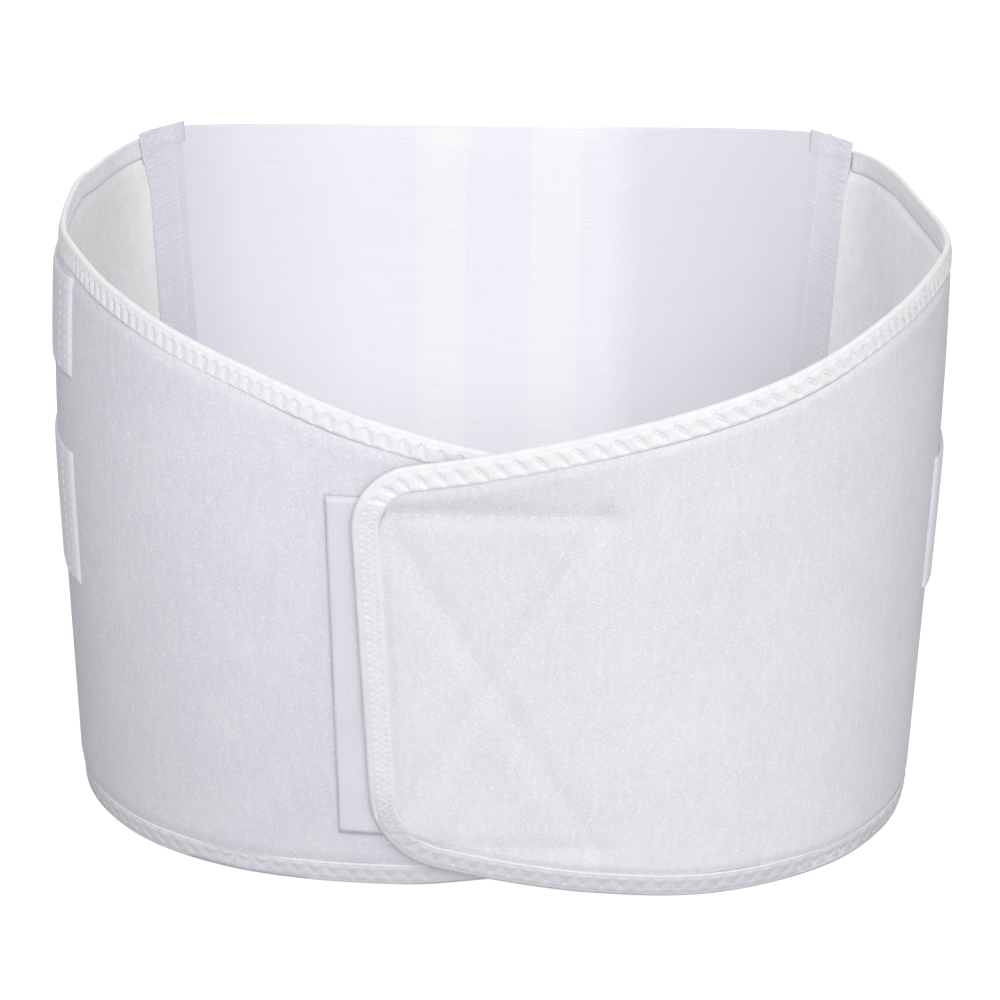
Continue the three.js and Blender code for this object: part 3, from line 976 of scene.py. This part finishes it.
def tape_section(side):
    """Once round the tape's section: inset, depth, share of relief, and place across the flat tape."""
    reach = TAPE_REACH[side]
    middle = (TAPE_FACE + TAPE_BACK) / 2
    half = (TAPE_FACE - TAPE_BACK) / 2
    bend_start = TAPE_ROLL - FOLD_DEPTH
    face_inset = np.linspace(reach, bend_start, OUTER_LEG)
    angle = np.linspace(math.pi / 2, -math.pi / 2, FOLD_POINTS + 2)[1:-1]
    fold_inset = bend_start - TAPE_ROLL * np.cos(angle) ** FOLD_ROUNDNESS
    fold_depth = middle + half * np.sin(angle)
    back_inset = np.linspace(bend_start, reach, INNER_LEG)
    inner_inset = np.linspace(reach, INNER_START, BACK_POINTS)
    inset = np.concatenate([face_inset, fold_inset, back_inset, inner_inset, inner_inset[::-1]])
    face_curl = TAPE_FACE - FACE_CURL[0] * fade(face_inset, reach - FACE_CURL[1], reach)
    back_curl = TAPE_BACK + BACK_CURL[0] * fade(back_inset, reach - BACK_CURL[1], reach)
    inner_low = np.full(BACK_POINTS, TAPE_BACK + TAPE_LINE)
    inner_high = np.full(BACK_POINTS, PANEL_THICKNESS - PINCH_DEPTH + FOAM_GAP)
    depth = np.concatenate([face_curl, fold_depth, back_curl, inner_low, inner_high])
    none = np.zeros(2 * BACK_POINTS)
    shares = [np.ones(OUTER_LEG), np.zeros(FOLD_POINTS), np.full(INNER_LEG, INNER_SHARE), none]
    relief = np.concatenate(shares)
    around = np.concatenate([[0.0], np.cumsum(np.hypot(np.diff(inset), np.diff(depth)))])
    return inset, depth, relief, around


def turned_under(side, run, inset):
    """How far the bottom border turns in towards its fold, so that it faces down a little."""
    low, = at_run(side, run, "low")
    return TURN_UNDER * low * fade(inset, TAPE_REACH[side], 0.0)


def make_tape_piece(side, node):
    inset, depth, relief, around = tape_section(side)
    tape_run = edges[side]["run"]
    count = len(inset)
    tube = bmesh.new()
    bmesh.ops.create_grid(tube, x_segments=len(tape_run) - 1, y_segments=count, size=0.5)
    layer = tube.loops.layers.uv.new("pattern")
    shade_layer = tube.verts.layers.float.new("low")
    flat = np.array([vertex.co[:2] for vertex in tube.verts]) + 0.5
    column = np.rint(flat[:, 0] * (len(tape_run) - 1)).astype(int)
    row = np.rint(flat[:, 1] * count).astype(int)
    run = tape_run[column]
    turn_row = row % count
    arc, height = on_tape(side, run, inset[turn_row])
    raised = depth[turn_row] + relief[turn_row] * zigzag_relief(side, run, inset[turn_row])
    raised = raised - turned_under(side, run, inset[turn_row])
    points = wrap(side * arc, height, flap_depth(side, arc) + raised)
    across = np.append(around, around[-1] + CLOSING_STEP)[row]
    # Painted shade along the bottom and round the end, kept in the low attribute for the finish.
    painted_shade = np.maximum(edges[side]["low"], END_PAINTED_SHADE * edges[side]["end"])[column]
    lip = fade(TAPE_REACH[side] - inset[turn_row], *LIP_FADE) * (turn_row < OUTER_LEG)
    painted_shade = painted_shade * (1 - LIP_CLEAN * lip)
    for vertex, point, low in zip(tube.verts, points, painted_shade):
        vertex.co = point
        vertex[shade_layer] = low
    inside = turn_row >= OUTER_LEG + FOLD_POINTS
    for face in tube.faces:
        face.smooth = True
        face.material_index = int(all(inside[vertex.index] for vertex in face.verts))
        for loop in face.loops:
            index = loop.vert.index
            loop[layer].uv = (MM * run[index], MM * across[index])
    bmesh.ops.remove_doubles(tube, verts=tube.verts, dist=MERGE_DISTANCE)
    open_edges = [edge for edge in tube.edges if edge.is_boundary]
    bmesh.ops.holes_fill(tube, edges=open_edges, sides=0)
    bmesh.ops.recalc_face_normals(tube, faces=tube.faces)
    mesh = bpy.data.meshes.new(node + "_tape")
    tube.to_mesh(mesh)
    tube.free()
    piece = new_object(node + "_tape", mesh)
    piece.data.materials.append(TAPE)
    piece.data.materials.append(TAPE_INSIDE)
    register(piece, "tape", node)
    return piece


tapes = {side: make_tape_piece(side, node) for side, node in [(-1, "under_binding"), (1, "over_binding")]}
print("edge tapes:", {piece.name: len(piece.data.polygons) for piece in tapes.values()})

# %% [markdown]
# ## Stitches
# A stitch is a short thread that arches over the cloth and dives back in at both ends. Hundreds of them
# as curve objects would be slow, so one function lays a ring-by-ring tube for each stitch, from arrays,
# and joins all the stitches of a seam into one mesh.

# %% Helper for stitches
RING_POINTS = 6
STITCH_SHARE = np.array([0.0, 0.15, 0.5, 0.85, 1.0])
STITCH_BOW = np.array([-1.0, 0.45, 0.85, 0.45, -1.0])
STITCH_GIRTH = np.array([0.55, 1.0, 1.0, 1.0, 0.55])


def stitch(name, starts, ends, outs, radius, finish):
    """Joined stitches from start points to end points, arched along the out directions."""
    run = ends - starts
    ahead = run / np.linalg.norm(run, axis=-1, keepdims=True)
    across = np.cross(ahead, outs)
    across /= np.linalg.norm(across, axis=-1, keepdims=True)
    up = np.cross(across, ahead)
    size = radius * MM
    middle = (starts[:, None] + run[:, None] * STITCH_SHARE[None, :, None]
              + up[:, None] * (size * STITCH_BOW)[None, :, None])
    angle = 2 * math.pi * np.arange(RING_POINTS) / RING_POINTS
    ring = up[:, None] * np.cos(angle)[None, :, None] + across[:, None] * np.sin(angle)[None, :, None]
    points = middle[:, :, None] + (size * STITCH_GIRTH)[None, :, None, None] * ring[:, None]
    rings = len(STITCH_SHARE)
    near = np.arange(RING_POINTS)
    far = (near + 1) % RING_POINTS
    faces = [tuple(reversed(near)), tuple(near + (rings - 1) * RING_POINTS)]
    for level in range(rings - 1):
        low, high = level * RING_POINTS, (level + 1) * RING_POINTS
        faces += list(zip(low + near, low + far, high + far, high + near))
    offsets = np.arange(len(starts)) * rings * RING_POINTS
    joined = [tuple(int(corner + offset) for corner in face) for offset in offsets for face in faces]
    mesh = bpy.data.meshes.new(name)
    mesh.from_pydata(points.reshape(-1, 3).tolist(), [], joined)
    mesh.polygons.foreach_set("use_smooth", np.ones(len(mesh.polygons), dtype=bool))
    mesh.update()
    piece = new_object(name, mesh)
    piece.data.materials.append(finish)
    register(piece, "tape")
    return piece


def sew(name, rows, radius, finish=THREAD):
    """One piece of several rows of stitches, each with its starts, ends and out directions."""
    return stitch(name, *map(np.concatenate, zip(*rows)), radius, finish)


def along_row(start, end, length, gap):
    """Starts and ends of even stitches along a straight flat row."""
    start, end = np.array(start), np.array(end)
    total = np.linalg.norm(end - start)
    count = max(int(total / (length + gap)), 1)
    first = np.arange(count) / count
    last = first + length / (length + gap) / count
    return start + first[:, None] * (end - start), start + last[:, None] * (end - start)


print("stitch helper ready")

# %% Zigzag thread on both faces of the edge tapes
THREAD_RADIUS = 0.12
THREAD_LIFT = 0.15
# Along the bottom the thread is drawn into the tape.
LOW_SINK = 0.26
# Columns: face of the tape, share of the relief, outward or inward, whether it crosses at the panel's end.
ZIGZAG_LAYERS = [
    (TAPE_FACE, 1.0, 1.0, False), (TAPE_FACE, 1.0, 1.0, True), (TAPE_BACK, INNER_SHARE, -1.0, False),
]


def zigzag_thread(side, name):
    edge = edges[side]
    turns = np.arange(1, int(2 * edge["phase"][-1])) / 2
    run = np.interp(turns, edge["phase"], edge["run"])
    at_end, low = at_run(side, run, "end", "low")
    end_turns = at_end > 0.5
    lift = THREAD_LIFT - LOW_SINK * low
    rows = []
    for face, share, sign, crossing in ZIGZAG_LAYERS:
        inset = zigzag_inset(side, turns + 0.5 * crossing)
        arc, height = on_tape(side, run, inset)
        sunk = face + share * (zigzag_relief(side, run, inset) + lift)
        sunk = sunk - turned_under(side, run, inset)
        point, out = needle(side * arc, height, flap_depth(side, arc) + sunk)
        kept = end_turns[1:] & end_turns[:-1] | (not crossing)
        middle_out = sign * (out[:-1] + out[1:])[kept] / 2
        rows.append((point[:-1][kept], point[1:][kept], middle_out))
    return sew(name, rows, THREAD_RADIUS, SHADED_THREAD)


zigzags = [zigzag_thread(side, tapes[side].name + "_zigzag") for side in (-1, 1)]
print("zigzag threads:", {piece.name: len(piece.data.polygons) for piece in zigzags})

# %% Stitches of the boxed cross on the flap
BOX_STITCH = (2.6, 1.0)
FINE_THREAD = 0.12
NAP_OVER_THREAD = 0.12


def on_flap(flat):
    arc, height = HALF_GIRTH + flat[:, 0], flat[:, 1]
    return needle(arc, height, plush_face(1, arc, height) - NAP_OVER_THREAD)


def box_stitches(first, last):
    """Starts, ends and out directions of one row of the boxed cross."""
    (starts, outs), (ends, _) = map(on_flap, along_row(first, last, *BOX_STITCH))
    return starts, ends, outs


box_sewn = [box_stitches(first, last) for first, last, _, _ in box_rows()]
box_cross = sew("flap_box_cross_stitches", box_sewn, FINE_THREAD, SHADED_THREAD)
print(box_cross.name + ":", sum(len(starts) for starts, _, _ in box_sewn))

# %% [markdown]
# ## Elastic back
# The back is one wide piece of ribbed elastic. The ribs run round the body. Bump alone would lose them
# at the outline, so the rows of the grid are fine enough to carry each rib as a small wave.

# %% Back panel
RIB_RISE = 0.022
RIB_ROWS = 3
BACK_COLUMNS = 56
BACK_LEFT_DROP = 2.3


def rib(height):
    return RIB_RISE * np.sin(2 * math.pi * height / RIB_PITCH)


def rib_rows(height):
    """Rows of a grid that carry the ribs over a height."""
    return int(RIB_ROWS * height / RIB_PITCH)


def place_back(along, up):
    height = up * (BACK_HEIGHT - BACK_LEFT_DROP * (1 - along))
    reach = seam_arc(height) - CLEARANCE / 2
    arc = reach * (2 * along - 1)
    return wrap(arc, height, BACK_THICKNESS + rib(height)), MM * np.stack([arc, height], axis=-1)


back_grid = (BACK_COLUMNS, rib_rows(BACK_HEIGHT))
back = make_sheet("back_elastic", back_grid, place_back, BACK_ELASTIC, BACK_THICKNESS,
                  "elastic", "back_panel")
print("back elastic faces:", len(back.data.polygons))

# %% [markdown]
# ## Seam hems
# Where the back meets a panel, the elastic laps over the seam on the inside. A wide zigzag holds its
# outer border and one straight row its inner border. The hem is its own thin sheet that faces inwards.

# %% Seam hems and their stitches
HEM_WIDTH = 20.0
HEM_RISE = {-1: 0.3, 1: 1.5}
HEM_FACE = -1.0
HEM_THICKNESS = 0.6
HEM_DROOP = 3.0
HEM_FLARE = {-1: 5.0, 1: 2.5}
HEM_FLARE_SPAN = (34.0, 4.0)
HEM_COLUMNS = 16
HEM_ZIGZAG = {"from": 1.2, "to": 7.6, "pitch": 3.2, "bottom": 2.0}
# The straight row near the inner border: distance from the border, from the bottom and from the top.
HEM_ROW = {"inset": 6.0, "bottom": 2.0, "top": 1.0}
HEM_STITCH = (2.8, 0.8)
# The top of the hem is folded down and sewn with a zigzag of its own.
HEM_TOP = {"from": 2.2, "to": 6.6, "pitch": 4.4, "fold": 9.0, "rise": 0.30, "soft": 0.8}
# The zigzag draws the outer border into small scallops, and the ribs slant and pucker.
SCALLOP = 0.45
PUCKER = {"slant": 5.0, "wave": 0.7, "pitch": 19.0, "rise": 2.0}
# The hem is crowned, and dips at its inner and its outer border: depth, width.
CROWN = 0.15
INNER_DIP = (1.15, 6.0)
OUTER_DIP = (0.5, 3.0)
HEM_THREAD_LIFT = 0.1


def hem_flare(side, along, height):
    """The outer border spreads near the top, where the hem is folded."""
    return HEM_FLARE[side] * along**2 * fade(BACK_HEIGHT - height, *HEM_FLARE_SPAN)


def hem_fold(height):
    """The folded top stands up by half a thickness of the cloth."""
    border = BACK_HEIGHT - HEM_TOP["fold"]
    return HEM_TOP["rise"] * fade(height, border - HEM_TOP["soft"], border)


def make_hem(side, node):
    def place(along, up):
        height = up * (BACK_HEIGHT + HEM_RISE[side] - HEM_DROOP * along)
        arc = seam_arc(height) + (along - 0.5) * HEM_WIDTH + hem_flare(side, along, height)
        arc = arc + SCALLOP * along**4 * np.sin(4 * math.pi * height / HEM_ZIGZAG["pitch"])
        pucker = height + PUCKER["slant"] * along
        pucker = pucker + PUCKER["wave"] * np.sin(2 * math.pi * height / PUCKER["pitch"])
        crown = CROWN * np.sin(math.pi * along) + hem_fold(height)
        for share, (dip, width) in [(along, INNER_DIP), (1 - along, OUTER_DIP)]:
            crown = crown - dip * fade(share * HEM_WIDTH, width, 0.0)
        points = wrap(side * arc, height, HEM_FACE - crown - PUCKER["rise"] * rib(pucker))
        return points, MM * np.stack([arc, pucker], axis=-1)

    grid = (HEM_COLUMNS, rib_rows(BACK_HEIGHT))
    return make_sheet(node + "_hem", grid, place, SHADED_HEM_ELASTIC[side], HEM_THICKNESS,
                      "elastic", node, inward=True)


def hem_stitches(side, name):
    turns = np.arange(int(2 * BACK_HEIGHT / HEM_ZIGZAG["pitch"]))
    height = HEM_ZIGZAG["bottom"] + turns * HEM_ZIGZAG["pitch"] / 2
    inset = np.where(turns % 2 == 0, HEM_ZIGZAG["from"], HEM_ZIGZAG["to"])
    wide = np.stack([HEM_WIDTH / 2 - inset, height], axis=-1)
    inner = -HEM_WIDTH / 2 + HEM_ROW["inset"]
    low, high = along_row((inner, HEM_ROW["bottom"]), (inner, BACK_HEIGHT - HEM_ROW["top"]), *HEM_STITCH)
    across = np.arange(1, int(2 * HEM_WIDTH / HEM_TOP["pitch"])) * HEM_TOP["pitch"] / 2
    drop = np.where(np.arange(len(across)) % 2 == 0, HEM_TOP["from"], HEM_TOP["to"])
    top = np.stack([across - HEM_WIDTH / 2, BACK_HEIGHT - HEM_DROOP * across / HEM_WIDTH - drop], axis=-1)
    flat_starts = np.concatenate([wide[:-1], low, top[:-1]])
    flat_ends = np.concatenate([wide[1:], high, top[1:]])

    def on_hem(flat):
        arc = seam_arc(flat[:, 1]) + flat[:, 0] + hem_flare(side, flat[:, 0] / HEM_WIDTH + 0.5, flat[:, 1])
        point, out = needle(side * arc, flat[:, 1], HEM_FACE - hem_fold(flat[:, 1]) - HEM_THREAD_LIFT)
        return point, -out

    (starts, outs), (ends, _) = on_hem(flat_starts), on_hem(flat_ends)
    return stitch(name, starts, ends, outs, FINE_THREAD, THREAD)


hems = [make_hem(side, node) for side, node in [(-1, "left_seam_tape"), (1, "right_seam_tape")]]
hem_rows = [hem_stitches(side, name) for side, name in [(-1, "left_hem_stitches"), (1, "right_hem_stitches")]]
print("hems:", [piece.name for piece in hems + hem_rows])

# %% [markdown]
# ## Stay channels
# Two flat stays hold the back upright. Each slides in a channel of the same elastic, sewn to the outside
# with a row of stitches down each border, which also shows on the inside.

# %% Channels and their stitches
CHANNEL_ARC = 27.5
CHANNEL_SHIFT = 1.6
CHANNEL_WIDTH = 25.5
CHANNEL_SPAN = (8.0, 231.0)
CHANNEL_THICKNESS = 0.9
CHANNEL_FACE = BACK_THICKNESS + CLEARANCE + CHANNEL_THICKNESS
CHANNEL_CLOTH = 0.7
CHANNEL_COLUMNS = 14
CHANNEL_STITCH = (2.8, 0.9)
CHANNEL_BORDER = 1.6
CHANNEL_ROW_GAP = 1.0
# The stay swells the channel between its borders: sunk border, swell, and width of the slope between them.
CHANNEL_SINK = 0.25
CHANNEL_SWELL = 0.45
CHANNEL_SLOPE = 4.0
CHANNEL_RIB = 0.5
# Depths of the stitches, on the outside and on the inside of the back, and the way that they face.
CHANNEL_LAYERS = [(CHANNEL_FACE - 0.2, 1.0), (0.06, -1.0)]


def make_channel(side, node):
    def place(along, up):
        height = CHANNEL_SPAN[0] + up * (CHANNEL_SPAN[1] - CHANNEL_SPAN[0])
        arc = side * CHANNEL_ARC + CHANNEL_SHIFT + (along - 0.5) * CHANNEL_WIDTH
        from_border = CHANNEL_WIDTH * np.minimum(along, 1 - along)
        swell = CHANNEL_SWELL * fade(from_border - CHANNEL_BORDER, 0.0, CHANNEL_SLOPE)
        points = wrap(arc, height, CHANNEL_FACE - CHANNEL_SINK + swell + CHANNEL_RIB * rib(height))
        return points, MM * np.stack([arc, height], axis=-1)

    grid = (CHANNEL_COLUMNS, rib_rows(CHANNEL_SPAN[1] - CHANNEL_SPAN[0]))
    return make_sheet(node + "_channel", grid, place, ELASTIC, CHANNEL_CLOTH, "elastic", node)


def channel_stitches(side, name):
    rows = []
    for border in (-1, 1):
        arc = side * CHANNEL_ARC + CHANNEL_SHIFT + border * (CHANNEL_WIDTH / 2 - CHANNEL_BORDER)
        start, end = (arc, CHANNEL_SPAN[0] + CHANNEL_ROW_GAP), (arc, CHANNEL_SPAN[1] - CHANNEL_ROW_GAP)
        low, high = along_row(start, end, *CHANNEL_STITCH)
        for depth, sign in CHANNEL_LAYERS:
            first, out = needle(*low.T, depth)
            last, _ = needle(*high.T, depth)
            rows.append((first, last, sign * out))
    return sew(name, rows, FINE_THREAD)


channels = [make_channel(side, node) for side, node in [(-1, "left_stay_casing"), (1, "right_stay_casing")]]
channel_rows = [channel_stitches(side, name)
                for side, name in [(-1, "left_channel_stitches"), (1, "right_channel_stitches")]]
print("channels:", [piece.name for piece in channels + channel_rows])

# %% Bar tacks, where the straps are caught to the channels
# Columns: arc from the middle of the back, height.
TACKS = [(-34.8, 190.3), (44.6, 187.3), (-28.0, 105.5), (47.9, 109.6)]
TACK_SIZE = (4.2, 3.2)
TACK_THREADS = 9
TACK_SLANT = 0.6


def bar_tacks(name):
    across = np.linspace(-0.5, 0.5, TACK_THREADS) * TACK_SIZE[0]
    arcs = np.concatenate([arc + across for arc, _ in TACKS])
    heights = np.repeat([height for _, height in TACKS], TACK_THREADS)
    starts, out = needle(arcs, heights - TACK_SIZE[1] / 2, 0.0)
    ends, _ = needle(arcs + TACK_SLANT, heights + TACK_SIZE[1] / 2, 0.0)
    return stitch(name, starts, ends, -out, FINE_THREAD, THREAD)


tacks = bar_tacks("bar_tacks")
print(tacks.name + ":", len(TACKS))

# %% [markdown]
# ## Hook tape
# The flap closes on a patch of hook tape. A finger's width of it shows beside the flap's end. It is a
# stiff, smooth tape with a plain selvedge.

# %% Hook tape
HOOK_SPAN = (-25.0, 60.4)
HOOK_HEIGHTS = (24.5, 163.0)
HOOK_LEAN = 0.02
HOOK_THICKNESS = 1.3
HOOK_FACE = PANEL_THICKNESS + CLEARANCE + HOOK_THICKNESS
HOOK_CLOTH = 0.9
HOOK_GRID = (70, 60)
# The selvedge lies lower than the hooks: by how much, and where the slope starts and ends.
SELVEDGE_DROP = 0.35
SELVEDGE_SLOPE = (2.4, 0.4)


def place_hooks(along, up):
    beyond = HOOK_SPAN[0] + along * (HOOK_SPAN[1] - HOOK_SPAN[0])
    height = HOOK_HEIGHTS[0] + up * (HOOK_HEIGHTS[1] - HOOK_HEIGHTS[0])
    edge = np.minimum(HOOK_SPAN[1] - beyond, np.minimum(height - HOOK_HEIGHTS[0], HOOK_HEIGHTS[1] - height))
    face = HOOK_FACE - SELVEDGE_DROP * fade(edge, *SELVEDGE_SLOPE)
    shift = HOOK_LEAN * (up - 0.5) * (HOOK_HEIGHTS[1] - HOOK_HEIGHTS[0])
    return wrap(HALF_GIRTH + beyond + shift, height, face), MM * np.stack([beyond, height], axis=-1)


hook_tape = make_sheet("hook_tape_patch", HOOK_GRID, place_hooks, HOOKS, HOOK_CLOTH, "hooks", "hook_patch")
print("hook tape faces:", len(hook_tape.data.polygons))

# %% [markdown]
# ## Straps
# Two elastic straps go round the outside of the back and end at the sides, where each is folded under
# and sewn down. They are ribbed along their length like the back.

# %% Straps
STRAP_THICKNESS = 1.3
STRAP_UNDERSIDE = 0.4
STRAP_COLUMNS = 200
STRAP_HEM = 12.0
# At its end the strap is doubled, and thins towards its border: rise, width of the step, drop.
DOUBLED_RISE = 0.12
DOUBLED_STEP = 1.0
END_DROP = 0.95
# Every border of the strap is rounded: drop, width.
STRAP_BORDER = (0.3, 1.8)
# Rows of stitches across the ends: distances from the end, gap to the strap's sides, stitch and gap.
STRAP_ROWS = (4.6, STRAP_HEM - 2.0)
STRAP_ROW_GAP = 1.5
STRAP_STITCH = (2.8, 0.9)
STRAP_THREAD_SINK = 0.12
STRAP_RISE_START = 200.0
# Columns: node, bottom, top, reach to the left, reach to the right, rise of the ends.
STRAPS = [
    ("upper_strap", 178.0, 216.0, 380.0, 332.0, 8.0),
    ("lower_strap", 100.0, 155.0, 379.0, 366.0, 0.0),
]


def strap_seat(arc):
    """Depth of a strap's inner face: over the stay channels at the back, over the panels at the sides."""
    over_channel = BACK_THICKNESS + CHANNEL_THICKNESS + 2 * CLEARANCE
    over_panel = PANEL_THICKNESS + CLEARANCE
    panel_start = seam_arc(0.0) - CLEARANCE
    beside = fade(np.abs(arc), CHANNEL_ARC + CHANNEL_WIDTH, panel_start)
    return over_channel + (over_panel - over_channel) * beside


def strap_height(arc, height, reach, rise):
    return height + rise * fade(np.abs(arc), STRAP_RISE_START, reach)


def strap_end(to_end):
    """How the end of a strap stands: doubled up to its stitches, and pressed thin towards its border."""
    doubled = DOUBLED_RISE * fade(to_end, STRAP_HEM + DOUBLED_STEP, STRAP_HEM)
    return doubled - END_DROP * fade(to_end, STRAP_HEM, 0.0)


def make_strap(node, bottom, top, left, right, rise):
    def place(along, up):
        arc = -left + along * (left + right)
        reach = np.where(arc < 0, left, right)
        to_end = reach - np.abs(arc)
        to_border = np.minimum(to_end, (top - bottom) * np.minimum(up, 1 - up))
        flat_height = bottom + up * (top - bottom)
        hem = strap_end(to_end) - STRAP_BORDER[0] * fade(to_border, STRAP_BORDER[1], 0.0)
        face = strap_seat(arc) + STRAP_THICKNESS + rib(flat_height) + hem
        height = strap_height(arc, flat_height, reach, rise)
        return wrap(arc, height, face), MM * np.stack([arc, flat_height], axis=-1)

    grid = (STRAP_COLUMNS, rib_rows(top - bottom))
    thickness = STRAP_THICKNESS + STRAP_UNDERSIDE
    return make_sheet(node + "_elastic", grid, place, STRAP_ELASTIC, thickness, "elastic", node)


def strap_stitches(node, bottom, top, left, right, rise):
    rows = []
    for side, reach in [(-1, left), (1, right)]:
        for inset in STRAP_ROWS:
            arc = reach - inset
            start, end = (arc, bottom + STRAP_ROW_GAP), (arc, top - STRAP_ROW_GAP)
            depth = strap_seat(arc) + STRAP_THICKNESS + strap_end(inset) - STRAP_THREAD_SINK
            sewn = along_row(start, end, *STRAP_STITCH)
            low, high = (strap_height(arc, flat[:, 1], reach, rise) for flat in sewn)
            first, out = needle(side * arc, low, depth)
            last, _ = needle(side * arc, high, depth)
            rows.append((first, last, out))
    return sew(node + "_stitches", rows, FINE_THREAD, SHADED_THREAD)


straps = [make_strap(*row) for row in STRAPS]
strap_rows = [strap_stitches(*row) for row in STRAPS]
print("straps:", [piece.name for piece in straps + strap_rows])

# %% [markdown]
# ## End
# All the pieces are built above.

print("pieces built")
